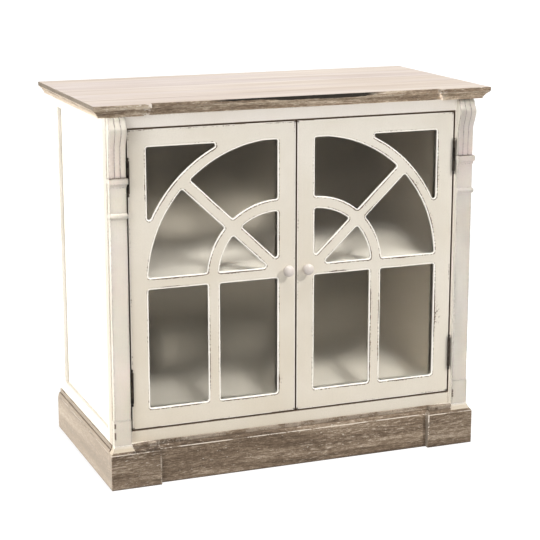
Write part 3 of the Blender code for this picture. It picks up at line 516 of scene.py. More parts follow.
def make_inside(name, base, grain=(3.0, 60.0, 60.0), strength=0.16, shade_tone=None, light_ramp=None, bead=False):
    g = Graph(name, rough=0.62, spec=0.3)
    p = g.co()
    streak = g.noise(g.scale(p, grain), 1.0, 4.0, 0.6)
    broad = g.noise(p, 3.0, 3.0, 0.5)
    grit = g.noise(p, 300.0, 2.0, 0.5)
    col = g.mix(g.span(streak, 0.3, 0.7), tuple(c * (1 - strength) for c in base), tuple(min(1.0, c * (1 + strength)) for c in base))
    col = g.mix(g.span(broad, 0.35, 0.65, 0.0, 0.35), col, tuple(c * 0.82 for c in base))
    col = g.mix(g.span(grit, 0.4, 0.7, 0.0, 0.12), col, tuple(c * 0.7 for c in base))
    px, py, pz = g.xyz(p)
    # painted shade: darker towards the back, except on the back panel
    col = g.mix(g.math("MULTIPLY", g.span(py, 0.06, 0.18), 0.0 if shade_tone else 0.72 if light_ramp else 0.62), col, tuple(c * 0.30 for c in base))
    # painted light: the ramp makes the shelf and the bottom board lighter towards the right, where light through the
    # glass falls
    if light_ramp:
        col = g.scale(col, g.span(px, *light_ramp, False))
    if bead:
        # painted shade beside the glass, less along the bottom
        bead_shade = g.math("MULTIPLY", g.span(py, -0.1830, -0.1802, 1.0, 0.0), g.span(pz, 0.1655, 0.1675, 0.12, 1.0))
        col = g.mix(bead_shade, col, (0.060, 0.052, 0.042))
    if shade_tone:
        # painted light and shade on the back panel's front: darker at the top and low down, and a dark streak along the
        # shelf; the rear face keeps its plain colour
        outside = col
        low = g.math("MULTIPLY", g.span(pz, 0.27, 0.22, 0.0, 1.0), g.span(px, -0.12, -0.02, 1.0, 0.0))
        col = g.scale(col, g.math("SUBTRACT", 1.0, g.math("MULTIPLY", low, 0.22)))
        shade_tone_low = tuple(c * 0.80 for c in shade_tone)
        col = g.mix(g.span(pz, 0.505, 0.560, 0.0, 1.0), col, shade_tone)
        col = g.mix(g.math("MULTIPLY", g.span(px, 0.13, 0.25), g.span(pz, 0.20, 0.26, 0.15, 0.75)), col, shade_tone)
        col = g.mix(g.math("MULTIPLY", g.span(pz, 0.27, 0.22, 0.0, 0.90), g.span(px, 0.12, 0.22, 1.0, 0.0)), col, shade_tone_low)
        col = g.mix(g.math("MULTIPLY", g.band(pz, 0.40, 0.42, 0.438, 0.456), 0.60), col, shade_tone)
        # painted reflection: soft pale vertical streaks
        painted_streaks = g.noise(g.join(g.math("MULTIPLY", px, 16.0), 0.0, g.math("MULTIPLY", pz, 0.8)), 1.0, 3.0, 0.6)
        col = g.mix(g.span(painted_streaks, 0.55, 0.72, 0.0, 0.28), col, tuple(c * 1.5 for c in base))
        nx, ny, nz = g.xyz(g.normal())
        col = g.mix(g.span(ny, -0.2, 0.2), col, outside)
    e = g.edge(0.0022)
    col = g.mix(g.span(e, 0.05, 0.2, 0.0, 0.4), col, tuple(min(1.0, c * 1.25) for c in base))
    g.bump(g.math("ADD", g.math("MULTIPLY", streak, 0.5), g.math("MULTIPLY", grit, 0.3)), 0.15, 0.0008)
    return g.done(col, g.span(streak, 0.3, 0.7, 0.52, 0.72))


def make_bronze(name):
    g = Graph(name, rough=0.5, metallic=0.6, spec=0.3)
    p = g.co()
    blotch = g.noise(p, 90.0, 3.0, 0.6)
    grit = g.noise(p, 700.0, 2.0, 0.6)
    col = g.mix(g.span(blotch, 0.35, 0.65), (0.014, 0.011, 0.009), (0.060, 0.047, 0.037))
    e = g.edge(0.0008)
    col = g.mix(g.math("MULTIPLY", g.span(e, 0.06, 0.25), g.span(blotch, 0.4, 0.6)), col, (0.16, 0.12, 0.085))
    g.bump(g.math("ADD", g.math("MULTIPLY", grit, 0.5), blotch), 0.18, 0.0003)
    return g.done(col, g.span(blotch, 0.3, 0.7, 0.36, 0.58))


def make_knob(name):
    g = Graph(name, rough=0.3, spec=0.5)
    p = g.co()
    broad = g.noise(p, 60.0, 3.0, 0.5)
    grit = g.noise(p, 600.0, 2.0, 0.5)
    col = g.mix(g.span(broad, 0.35, 0.65), (0.72, 0.655, 0.61), (0.775, 0.71, 0.665))
    col = g.mix(g.span(grit, 0.4, 0.75, 0.0, 0.12), col, (0.66, 0.58, 0.50))
    g.bump(g.math("ADD", grit, g.math("MULTIPLY", broad, 2.0)), 0.06, 0.0004)
    g.p.inputs["Coat Weight"].default_value = 0.25
    g.p.inputs["Coat Roughness"].default_value = 0.2
    return g.done(col, g.span(broad, 0.3, 0.7, 0.26, 0.38))


def make_steel(name):
    g = Graph(name, rough=0.35, metallic=1.0)
    p = g.co()
    brushed = g.noise(g.scale(p, (1500.0, 1500.0, 90.0)), 1.0, 2.0, 0.5)
    blotch = g.noise(p, 150.0, 3.0, 0.6)
    col = g.mix(g.span(brushed, 0.3, 0.7), (0.50, 0.50, 0.51), (0.68, 0.68, 0.69))
    col = g.mix(g.span(blotch, 0.5, 0.7, 0.0, 0.4), col, (0.55, 0.52, 0.45))
    g.bump(brushed, 0.1, 0.0002)
    return g.done(col, g.span(blotch, 0.3, 0.7, 0.28, 0.48))


def make_plastic(name):
    g = Graph(name, rough=0.45)
    p = g.co()
    grit = g.noise(p, 900.0, 2.0, 0.5)
    broad = g.noise(p, 40.0, 2.0, 0.5)
    col = g.mix(g.span(broad, 0.3, 0.7), (0.66, 0.64, 0.59), (0.74, 0.73, 0.69))
    g.bump(grit, 0.12, 0.0002)
    return g.done(col, g.span(grit, 0.3, 0.7, 0.40, 0.52))


def make_glass(name):
    g = Graph(name, rough=0.03)
    p = g.co()
    g.t.nodes.remove(g.p)
    # satin glass: what stands behind it is softened
    soft = g.n("BsdfRefraction")
    soft.inputs["Color"].default_value = (0.93, 0.928, 0.918, 1.0)
    soft.inputs["IOR"].default_value = 1.3
    clouds = g.noise(p, 9.0, 3.0, 0.55)
    g.put(soft.inputs["Roughness"], g.span(clouds, 0.3, 0.7, 0.30, 0.40))
    mirror = g.n("BsdfGlossy")
    mirror.inputs["Color"].default_value = (0.9, 0.84, 0.76, 1.0)
    mirror.inputs["Roughness"].default_value = 0.05
    bump = g.n("Bump")
    bump.inputs["Strength"].default_value = 0.08
    bump.inputs["Distance"].default_value = 0.004
    g.put(bump.inputs["Height"], g.noise(p, 7.0, 2.0, 0.5))
    g.put(mirror.inputs["Normal"], bump.outputs[0])
    fres = g.n("Fresnel")
    fres.inputs["IOR"].default_value = 1.45
    geo = g.n("NewGeometry")
    m1 = g.n("MixShader")
    g.put(m1.inputs[0], g.math("MULTIPLY", fres.outputs[0], g.math("SUBTRACT", 1.0, geo.outputs["Backfacing"])))
    g.put(m1.inputs[1], soft.outputs[0])
    g.put(m1.inputs[2], mirror.outputs[0])
    clear = g.n("BsdfTransparent")
    clear.inputs["Color"].default_value = (0.93, 0.928, 0.918, 1.0)
    path = g.n("LightPath")
    m2 = g.n("MixShader")
    g.put(m2.inputs[0], path.outputs["Is Shadow Ray"])
    g.put(m2.inputs[1], m1.outputs[0])
    g.put(m2.inputs[2], clear.outputs[0])
    g.t.links.new(m2.outputs[0], g.out.inputs["Surface"])
    return g.m


def make_floor(name):
    g = Graph(name, rough=0.9, spec=0.1)
    p = g.co()
    broad = g.noise(p, 1.2, 2.0, 0.5)
    col = g.mix(broad, (0.16, 0.16, 0.158), (0.18, 0.18, 0.178))
    g.put(g.p.inputs["Emission Color"], g.mix(broad, (0.99, 0.99, 0.99), (1.0, 1.0, 1.0)))
    g.p.inputs["Emission Strength"].default_value = 0.90
    return g.done(col)


PAINT_SIDE = make_paint("cream_paint_side", wear=0.35, stained_inside=True)
CARVED = make_paint("cream_paint_carved", wear=0.8, groove=True)
PAINT_DOOR = make_paint("cream_paint_door", lip=True)
PAINT_JAMB = make_paint("cream_paint_face", wear=0.5, jamb=True)
DRIFT = make_driftwood("driftwood", plinth=True)
EDGE = make_driftwood("driftwood_top_edge", light=1.02, stain=True)
# painted light: the moulding's wood is made lighter, standing in for the light on its downward faces
MOULDING = make_driftwood("driftwood_moulding", light=1.50, stain=True)
WHITEWASH = make_whitewash("whitewashed_planks")
INSIDE = make_inside("inside_paint", (0.80, 0.765, 0.700))
SHELF = make_inside("shelf_paint", (0.80, 0.765, 0.700), light_ramp=(-0.24, -0.12, 0.75, 1.0))
BOARD = make_inside("bottom_paint", (0.80, 0.765, 0.700), light_ramp=(-0.22, 0.30, 0.82, 1.22))
BEAD = make_inside("bead_paint", (0.66, 0.63, 0.57), bead=True)
BACKING = make_inside("back_board", (0.50, 0.460, 0.395), grain=(50.0, 50.0, 4.0), shade_tone=(0.150, 0.135, 0.110))
BRONZE = make_bronze("dark_bronze")
KNOB = make_knob("knob_enamel")
STEEL = make_steel("zinc_steel")
PLASTIC = make_plastic("catch_plastic")
GLASS = make_glass("pane_glass")


# ------------------------------------------------------------------ meshes
def piece(name, verts, faces, mats, stands_for, body, angle=40.0, weighted=True, pick=None, attrs=None):
    """A new piece, built where it stands. pick gives a face's material number from its normal and centre."""
    me = bpy.data.meshes.new(name)
    me.from_pydata([tuple(v) for v in verts], [], faces)
    if attrs:
        for key, vals in attrs.items():
            a = me.attributes.new(key, "FLOAT", "POINT")
            a.data.foreach_set("value", vals)
    bm = bmesh.new()
    bm.from_mesh(me)
    bmesh.ops.remove_doubles(bm, verts=bm.verts, dist=1e-6)
    bmesh.ops.recalc_face_normals(bm, faces=bm.faces)
    if bm.calc_volume(signed=True) < 0:
        bmesh.ops.reverse_faces(bm, faces=bm.faces)
    if pick:
        for f in bm.faces:
            f.material_index = pick(f.normal, f.calc_center_median())
    bm.to_mesh(me)
    bm.free()
    for m in mats:
        me.materials.append(m)
    me.shade_smooth()
    me.set_sharp_from_angle(angle=math.radians(angle))
    ob = bpy.data.objects.new(name, me)
    scene.collection.objects.link(ob)
    if weighted:
        w = ob.modifiers.new("weighted", "WEIGHTED_NORMAL")
        w.keep_sharp = True
    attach(ob, body)
    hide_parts(*stands_for)
    return ob


def bridge(rings, closed=True):
    """Quads between rings of equal length, given as lists of vertex numbers."""
    faces = []
    for a, b in zip(rings, rings[1:]):
        n = len(a)
        for i in range(n if closed else n - 1):
            j = (i + 1) % n
            faces.append((a[i], a[j], b[j], b[i]))
    return faces


def loft(loops):
    n = len(loops[0])
    verts = [p for loop in loops for p in loop]
    rings = [list(range(k * n, (k + 1) * n)) for k in range(len(loops))]
    faces = bridge(rings) + cap(loops[0], 0) + cap(loops[-1], (len(loops) - 1) * n)
    return verts, faces


def cap(loop, base):
    """Triangles over a flat loop of 3D points."""
    nrm = Vector((0, 0, 0))
    for p, q in zip(loop, loop[1:] + loop[:1]):
        nrm += Vector(p).cross(Vector(q))
    k = max(range(3), key=lambda i: abs(nrm[i]))
    ax = [i for i in range(3) if i != k]
    tris = tessellate_polygon([[Vector((p[ax[0]], p[ax[1]], 0.0)) for p in loop]])
    return [tuple(base + i for i in t) for t in tris]


def corner(cx, cy, r, a0, a1, n):
    return [(cx + r * math.cos(math.radians(a0 + (a1 - a0) * i / n)), cy + r * math.sin(math.radians(a0 + (a1 - a0) * i / n))) for i in range(n + 1)]


# ---- top
HEIGHT, TOP_W, TOP_D, SLAB_T, CORNICE_T = 0.800, 0.880, 0.450, 0.0085, 0.0162
BREAK_X, BREAK_D = 0.3195, 0.0110
GAP = 0.0003
CASE_TOP = HEIGHT - SLAB_T - CORNICE_T - 2 * GAP
SEG = 10


def spread(a, b, n):
    return [a + (b - a) * i / n for i in range(n)]


def top_outline(d, z):
    """The top's plan, moved in by d on the front and sides, with points along its long runs."""
    x, y0, y1 = TOP_W / 2 - d, -TOP_D / 2 + d, TOP_D / 2
    b = BREAK_X + d
    pts = [(-x, y1), (-x, y0), (-b, y0), (-b, y0 + BREAK_D), (b, y0 + BREAK_D), (b, y0), (x, y0), (x, y1)]
    out = []
    for (p, q), n in zip(zip(pts, pts[1:] + pts[:1]), (6, 3, 1, 10, 1, 3, 6, 8)):
        for i in range(n):
            t = i / n
            out.append((p[0] + (q[0] - p[0]) * t, p[1] + (q[1] - p[1]) * t, z))
    return out


def wavy(loop, amount, seed):
    """Small uneven wear along an edge, only inwards."""
    out = []
    for x, y, z in loop:
        n = 0.5 + 0.5 * mnoise.noise(Vector((x * 9 + seed, y * 9, z * 9)))
        out.append((x - math.copysign(amount * n, x) if abs(x) > 0.30 else x, y + amount * n if y < -0.19 else y, z))
    return out


z0 = HEIGHT - SLAB_T
r = 0.0013
rows = [(0.0009, z0), (0.0003, z0 + 0.0003), (0.0, z0 + 0.0009)]
rows += [(r * (1 - math.cos(math.radians(a))), HEIGHT - r * (1 - math.sin(math.radians(a)))) for a in (0, 22, 45, 68, 90)]
loops = [top_outline(d, z) for d, z in rows]
v, f = loft(loops)
top = piece("top_board_look", v, f, [WHITEWASH, EDGE], ["top_board", "top_block_left", "top_block_right"], "cabinet", 60.0, pick=lambda n, c: 0 if n.z > 0.9 and c.z > 0.795 else 1)

zt, zb = HEIGHT - SLAB_T - GAP, CASE_TOP + GAP
IN = 0.0125
rows = [(IN, zb), (IN, zb + 0.0028), (IN - 0.0004, zb + 0.0034), (IN - 0.0011, zb + 0.0036)]
for i in range(13):
    t, a, k = i / 12, math.radians(90 * i / 12), 0.35
    rows.append((IN - 0.0012 - 0.0091 * (t * (1 - k) + (1 - math.cos(a)) * k), zb + 0.0038 + 0.0106 * (t * (1 - k) + math.sin(a) * k)))
rows += [(0.0016, zt - 0.0015), (0.0012, zt - 0.0008), (0.0012, zt)]
v, f = loft([top_outline(d, z) for d, z in rows])
piece("cornice_look", v, f, [MOULDING], ["cornice_board", "cornice_block_left", "cornice_block_right"], "cabinet", 35.0)

# ---- plinth
PLINTH_X, PLINTH_FRONT, PLINTH_BACK = 0.4185, -0.2220, 0.2215
PLINTH_Z, COVE_Z, BLOCK_IN = 0.0755, 0.0925, 0.3095
CASE_X, CASE_FRONT, CASE_BACK = 0.4095, -0.2000, 0.2200


def foot_and_cove(run):
    """The plinth's profile: face, rounded bead, then a small upright lip under the case."""
    k = run / 0.0104
    out = [(0.0012, 0.0), (0.0004, 0.0004), (0.0, 0.0012), (0.0, 0.0300), (0.0, PLINTH_Z - 0.0016), (0.0002 * k, PLINTH_Z - 0.0007), (0.0008 * k, PLINTH_Z - 0.0001), (0.0016 * k, PLINTH_Z)]
    for i in range(9):
        a = math.radians(90 * i / 8)
        out.append(((0.0070 - 0.0053 * math.cos(a)) * k, PLINTH_Z + 0.0004 + 0.0082 * math.sin(a)))
    return out + [(0.0077 * k, PLINTH_Z + 0.0087), (0.0079 * k, PLINTH_Z + 0.0092), (0.0079 * k, COVE_Z - 0.0010), (0.0083 * k, COVE_Z - 0.0003), (0.0090 * k, COVE_Z)]


def flare(z):
    """How far the post's foot has spread over the block: 0 at the top, 1 at the block's arris."""
    return max(0.0, min(1.0, (COVE_Z - z) / (COVE_Z - PLINTH_Z))) ** 1.6


recess_y, back_y = PLINTH_FRONT + BREAK_D, CASE_FRONT - GAP
run = back_y - recess_y - 0.0005
section = [(back_y, 0.0)] + [(recess_y + d, z) for d, z in foot_and_cove(run)] + [(back_y, COVE_Z)]
reach = [0.0] + [d for d, z in foot_and_cove(BREAK_D - 0.0005)] + [0.0090 * (BREAK_D - 0.0005) / 0.0104]
xs = [-1 + i / 6 for i in range(13)]
v, f = loft([[(x * (BLOCK_IN - GAP + extra), y, z) for (y, z), extra in zip(section, reach)] for x in xs])
piece("plinth_front_look", v, f, [DRIFT], ["plinth_front"], "cabinet", 35.0)
side_run = PLINTH_X - (CASE_X + GAP) - 0.0006
for side, sx in (("left", -1), ("right", 1)):
    loops = []
    rows = foot_and_cove(BREAK_D - 0.0005)
    rows[-3:-3] = [(rows[-4][0], z) for z in (0.0866, 0.0884, 0.0900)]
    for d, z in rows:
        s = flare(z)
        xi, y0, y1 = BLOCK_IN + d, PLINTH_FRONT + d, back_y
        xf, xo, yf = 0.3706 - 0.0060 * s, 0.4085 + 0.0098 * s, -0.2134 - 0.0084 * s
        if z < PLINTH_Z + 0.0002:
            xo, yf = PLINTH_X - d, y0
        cr = 0.0009
        loop = [(xi, y1)] + [(xi + cr - cr * math.cos(a), y0 + cr - cr * math.sin(a)) for a in (0, 0.52, 1.05, 1.57)]
        loop += [(xi + (xf - xi) * t, y0) for t in (0.5, 0.995)] + [(xf, yf)]
        loop += [(xo - cr + cr * math.sin(a), yf + cr - cr * math.cos(a)) for a in (0, 0.52, 1.05, 1.57)] + [(xo, y1)]
        loops.append([(sx * x, y, z) for x, y in loop])
    v, f = loft(loops)
    piece("plinth_block_look_" + side, v, f, [DRIFT, CARVED], ["plinth_block_" + side], "cabinet", 35.0,
          pick=lambda n, c: 1 if c.z > (0.0810 if n.y < -0.35 else 0.0776) and abs(c.x) > 0.3703 - 0.0060 * flare(c.z) else 0)
    section = [(CASE_X + GAP, 0.0)] + [(PLINTH_X - d, z) for d, z in foot_and_cove(side_run)] + [(CASE_X + GAP, COVE_Z)]
    ys = [back_y + 0.00002 + (PLINTH_BACK - back_y - 0.00002) * i / 8 for i in range(9)]
    v, f = loft([[(sx * x, y, z) for x, z in section] for y in ys])
    piece("plinth_side_look_" + side, v, f, [DRIFT], ["plinth_side_" + side], "cabinet", 35.0)


# ---- pilasters
def post_loop(sx, xi, xo, front, z, cr=0.0012, back=CASE_FRONT - GAP):
    loop = [(xi, back)] + [(xi + cr - cr * math.cos(a), front + cr - cr * math.sin(a)) for a in (0, 0.39, 0.79, 1.18, 1.57)]
    loop += [(xo - cr + cr * math.sin(a), front + cr - cr * math.cos(a)) for a in (0, 0.39, 0.79, 1.18, 1.57)] + [(xo, back)]
    return [(sx * x, y, z) for x, y in loop]


def post_marks(rings, inner=0.40, outer=0.36):
    """How much of the undercoat shows on each ring of a post, and on its two front arrises."""
    out = []
    for m in rings:
        out += [m if i not in (3, 8) else max(m, inner if i == 3 else outer) for i in range(12)]
    return out


PIL_IN, PIL_OUT, PIL_FRONT = 0.3715, 0.4070, -0.2120
FOOT_Z0, FOOT_Z1 = COVE_Z + GAP, 0.1470
BEAD_Z, BEAD_R = 0.5757, 0.0058
CAP_Z0, CAP_Z1 = 0.6345, 0.6527
CORBEL_Z0, CORBEL_Z1 = CAP_Z1 + GAP, CASE_TOP


def smooth_steps(keys, t):
    if t <= keys[0][0]:
        return keys[0][1]
    for (t0, v0), (t1, v1) in zip(keys, keys[1:]):
        if t <= t1:
            s = (t - t0) / (t1 - t0)
            return v0 + (v1 - v0) * s * s * (3 - 2 * s)
    return keys[-1][1]


for side, sx in (("left", -1), ("right", 1)):
    heights = (FOOT_Z0, FOOT_Z0 + 0.0009, 0.1030, 0.1060, 0.1130, 0.1200, 0.1235, 0.1255, 0.1300, 0.1325, 0.1400, 0.1437, FOOT_Z1 - 0.0022)
    loops = [post_loop(sx, 0.3706, 0.4085, -0.2134, z, 0.0026) for z in heights]
    for a in (30, 60, 90):
        d = 0.0016 * (1 - math.cos(math.radians(a)))
        loops.append(post_loop(sx, 0.3706 + d * 0.5, 0.4085 - d * 0.7, -0.2134 + d * 0.8, FOOT_Z1 - 0.0022 + 0.0022 * math.sin(math.radians(a)), 0.0026))
    v, f = loft(loops)
    outer = (0.0, 0.0, 0.0, 0.55, 0.95, 0.95, 0.60, 0.0, 0.0, 0.90, 0.90, 0.50, 0.0, 0.0, 0.0, 0.0)
    inner = (0.0, 0.0, 0.0, 0.45, 0.50, 0.45, 0.50, 0.45, 0.40, 0.45, 0.50, 0.40, 0.0, 0.0, 0.0, 0.0)
    if side == "right":
        outer, inner = inner, (0.0, 0.0, 0.0, 0.50, 0.95, 0.85, 0.95, 0.90, 0.50, 0.0, 0.0, 0.0, 0.0, 0.0, 0.0, 0.0)
    marks = []
    for worn_in, worn_out in zip(inner, outer):
        marks += [worn_in if i in (3, 4) else worn_out if i in (7, 8) else 0.0 for i in range(12)]
    piece("pilaster_foot_look_" + side, v, f, [CARVED], ["pilaster_foot_" + side], "cabinet", 40.0, attrs={"groove": marks})

    loops = [post_loop(sx, PIL_IN, PIL_OUT, PIL_FRONT, z) for z in [FOOT_Z1 + GAP, FOOT_Z1 + GAP + 0.0009] + [0.20 + 0.06 * i for i in range(6)] + [BEAD_Z - BEAD_R - 0.0012]]
    loops.append(post_loop(sx, PIL_IN, PIL_OUT, PIL_FRONT, BEAD_Z - BEAD_R))
    for i in range(1, 12):
        a = math.radians(-90 + 180 * i / 12)
        p = math.cos(a)
        loops.append(post_loop(sx, PIL_IN - 0.0016 * p, PIL_OUT + 0.0018 * p, PIL_FRONT - 0.0062 * p, BEAD_Z + BEAD_R * math.sin(a)))
    loops.append(post_loop(sx, PIL_IN, PIL_OUT, PIL_FRONT, BEAD_Z + BEAD_R))
    loops += [post_loop(sx, PIL_IN, PIL_OUT, PIL_FRONT, z) for z in (BEAD_Z + BEAD_R + 0.0012, 0.6100, CAP_Z0 - GAP - 0.0010, CAP_Z0 - GAP)]
    v, f = loft(loops)
    rings = [0.60] + [0.0] * 8 + [0.60] + [0.0] * 11 + [0.55] + [0.0] * 3 + [0.75]
    piece("pilaster_look_" + side, v, f, [CARVED], ["pilaster_" + side], "cabinet", 50.0, attrs={"groove": post_marks(rings)})

    loops = []
    for i in range(9):
        s = i / 8
        p = 0.0058 * (1 - math.sqrt(max(0.0, 1 - s * s)))
        q = p / 0.0058
        loops.append(post_loop(sx, 0.3711 - 0.0019 * q, 0.4076 + 0.0019 * q, -0.2140 - 0.0056 * q, CAP_Z0 + 0.0072 * s, 0.0010))
    for d, z in ((0.0, 0.0060), (0.0, 0.0014), (0.0002, 0.0008), (0.0007, 0.0003), (0.0013, 0.0)):
        loops.append(post_loop(sx, 0.3692 + d, 0.4095 - d, -0.2196 + d, CAP_Z1 - z, 0.0012))
    v, f = loft(loops)
    rings = [0.80] + [0.0] * 7 + [0.42] + [0.0] * 3 + [0.35, 0.75]
    piece("capital_look_" + side, v, f, [CARVED], ["capital_" + side], "cabinet", 45.0, attrs={"groove": post_marks(rings, 0.38, 0.38)})

    # corbel: three reeds on a scroll that swells forward near its top, rounded off at both ends
    swell = [(CORBEL_Z0, 0.0122), (0.6900, 0.0120), (0.7100, 0.0128), (0.7500, 0.0232), (0.7690, 0.0150), (CORBEL_Z1, 0.0108)]
    reed, lobes, per, end_r, rows_n = 0.0027, 3, 16, 0.0042, 90
    loops, groove = [], []
    for k in range(rows_n + 1):
        t = k / rows_n
        t = t - 0.045 * math.sin(2 * math.pi * t)
        z = CORBEL_Z0 + (CORBEL_Z1 - CORBEL_Z0) * t
        d = smooth_steps(swell, z)
        bulge = max(0.0, (d - 0.0122) / 0.0110)
        xi, xo = PIL_IN - 0.0010 * bulge, PIL_OUT + 0.0012 * bulge
        dz = min(z - CORBEL_Z0, CORBEL_Z1 - z)
        kk = max(0.0, 1.0 - dz / end_r)
        loop = []
        for i in range(lobes * per + 1):
            s = 1.0 if i == lobes * per else ((i % per) / per) * 2 - 1
            s = math.sin(s * math.pi / 2)
            crown = max(0.0, 1 - abs(s) ** 5.0 - 0.85 * kk * kk) ** (1 / 3.0)
            lobe = min(i // per, lobes - 1)
            x = xi + (xo - xi) * (lobe + (s + 1) / 2) / lobes
            loop.append((sx * x, CASE_FRONT - GAP - (d - reed) - reed * crown, z))
            inner = 0 < i < lobes * per
            groove.append(max(min(1.0, max(0.0, (abs(s) - 0.86) / 0.10)) if inner else 0.30, 0.85 * kk * kk if inner else 0.0))
        back = CASE_FRONT - GAP
        loop += [(sx * xo, back, z), (sx * xi, back, z)]
        groove += [0.0, 0.0]
        loops.append(loop)
    v, f = loft(loops)
    piece("corbel_look_" + side, v, f, [CARVED], ["corbel_" + side], "cabinet", 70.0, weighted=False, attrs={"groove": groove})


# ---- doors
DOOR_IN, DOOR_OUT, DOOR_Z0, DOOR_Z1 = 0.0013, 0.3657, 0.1200, 0.7474
FRONT_T = 0.0110
SIGHT_IN, SIGHT_OUT, SIGHT_Z0, SIGHT_Z1 = 0.0419, 0.3258, 0.1632, 0.7100
RAIL_Z0, RAIL_Z1, MULL_IN, MULL_OUT = 0.4155, 0.4405, 0.1704, 0.1971
ARC_U, ARC_Z, ARC1_IN, ARC1_OUT, ARC2_IN, ARC2_OUT = 0.0420, 0.4280, 0.2835, 0.3070, 0.1310, 0.1572
BAR_ANGLE, BAR_W, BAR_P, CORNER_R = math.radians(43.5), 0.0255, (0.0420, 0.4385), 0.0042
KNOB_X, KNOB_Z = 0.0222, 0.4320


def arc_points(rad, a0, a1, step=1.2):
    n = max(2, int(math.ceil(abs(a1 - a0) / step)))
    return [(ARC_U + rad * math.cos(math.radians(a0 + (a1 - a0) * i / n)), ARC_Z + rad * math.sin(math.radians(a0 + (a1 - a0) * i / n))) for i in range(n + 1)]


def angle_at(rad, u=None, z=None):
    return math.degrees(math.acos((u - ARC_U) / rad)) if u is not None else math.degrees(math.asin((z - ARC_Z) / rad))


def bar_meets(rad, off):
    c, s = math.cos(BAR_ANGLE), math.sin(BAR_ANGLE)
    pu, pz = BAR_P[0] - s * off - ARC_U, BAR_P[1] + c * off - ARC_Z
    b = pu * c + pz * s
    t = -b + math.sqrt(b * b - (pu * pu + pz * pz - rad * rad))
    return math.degrees(math.atan2(pz + t * s, pu + t * c))


def bar_at(off, u=None, z=None):
    c, s = math.cos(BAR_ANGLE), math.sin(BAR_ANGLE)
    pu, pz = BAR_P[0] - s * off, BAR_P[1] + c * off
    t = (u - pu) / c if u is not None else (z - pz) / s
    return (pu + t * c, pz + t * s)


def line(p, q, step=0.006):
    n = max(1, int(math.ceil((Vector(q) - Vector(p)).length / step)))
    return [(p[0] + (q[0] - p[0]) * i / n, p[1] + (q[1] - p[1]) * i / n) for i in range(n + 1)]


def cut_ends(path, a, b):
    def trim(pts, length):
        pts = list(pts)
        while length > 0 and len(pts) > 1:
            p, q = Vector(pts[0]), Vector(pts[1])
            d = (q - p).length
            if d > length + 1e-9:
                pts[0] = tuple(p + (q - p) * (length / d))
                return pts
            length -= d
            pts.pop(0)
        return pts

    return trim(trim(path, a)[::-1], b)[::-1]


def rounded(edges, radius=CORNER_R, steps=7):
    n = len(edges)
    lengths = [sum((Vector(q) - Vector(p)).length for p, q in zip(e, e[1:])) for e in edges]
    takes, weights = [], []
    for i in range(n):
        e, f = edges[i], edges[(i + 1) % n]
        c = Vector(e[-1])
        a, b = (Vector(e[-2]) - c).normalized(), (Vector(f[1]) - c).normalized()
        half = math.acos(max(-1.0, min(1.0, a.dot(b)))) / 2
        takes.append(min(radius / math.tan(half), 0.42 * lengths[i], 0.42 * lengths[(i + 1) % n]))
        weights.append(math.sin(half))
    cut = [cut_ends(edges[i], takes[i - 1], takes[i]) for i in range(n)]
    out = []
    for i in range(n):
        out += cut[i]
        p, c, q, w = Vector(cut[i][-1]), Vector(edges[i][-1]), Vector(cut[(i + 1) % n][0]), weights[i]
        for k in range(1, steps):
            t = k / steps
            a, b, d = (1 - t) ** 2, 2 * t * (1 - t) * w, t * t
            out.append(tuple((p * a + c * b + q * d) / (a + b + d)))
    clean = [out[0]]
    for p in out[1:]:
        if (Vector(p) - Vector(clean[-1])).length > 2e-5:
            clean.append(p)
    if (Vector(clean[0]) - Vector(clean[-1])).length < 2e-5:
        clean.pop()
    return clean


h = BAR_W / 2
openings = []
a0, a1 = angle_at(ARC1_OUT, z=SIGHT_Z1), angle_at(ARC1_OUT, u=SIGHT_OUT)
arc = arc_points(ARC1_OUT, a0, a1)
openings.append(rounded([line((SIGHT_OUT, SIGHT_Z1), arc[0]), arc, line(arc[-1], (SIGHT_OUT, SIGHT_Z1))]))
a_bar, a_cross = bar_meets(ARC1_IN, h), angle_at(ARC1_IN, z=SIGHT_Z1)
arc = arc_points(ARC1_IN, a_cross, a_bar)
low = arc_points(ARC2_OUT, bar_meets(ARC2_OUT, h), 89.99)
low[-1] = (SIGHT_IN, ARC_Z + ARC2_OUT)
openings.append(rounded([line((SIGHT_IN, SIGHT_Z1), arc[0])[:-1] + arc, line(arc[-1], low[0]), low, line(low[-1], (SIGHT_IN, SIGHT_Z1))]))
arc = arc_points(ARC1_IN, bar_meets(ARC1_IN, -h), angle_at(ARC1_IN, z=RAIL_Z1))
low = arc_points(ARC2_OUT, angle_at(ARC2_OUT, z=RAIL_Z1), bar_meets(ARC2_OUT, -h))
openings.append(rounded([arc, line(arc[-1], low[0]), low, line(low[-1], arc[0])]))
up = arc_points(ARC2_IN, 89.99, bar_meets(ARC2_IN, h))
up[0] = (SIGHT_IN, ARC_Z + ARC2_IN)
openings.append(rounded([up, line(up[-1], bar_at(h, u=SIGHT_IN)), line(bar_at(h, u=SIGHT_IN), up[0])]))
down = arc_points(ARC2_IN, bar_meets(ARC2_IN, -h), angle_at(ARC2_IN, z=RAIL_Z1))
mid = bar_at(-h, z=RAIL_Z1)
openings.append(rounded([down, line(down[-1], mid), line(mid, down[0])]))
for u0, u1 in ((SIGHT_IN, MULL_IN), (MULL_OUT, SIGHT_OUT)):
    c = [(u0, SIGHT_Z0), (u1, SIGHT_Z0), (u1, RAIL_Z0), (u0, RAIL_Z0)]
    openings.append(rounded([line(c[i], c[(i + 1) % 4], 0.012) for i in range(4)]))


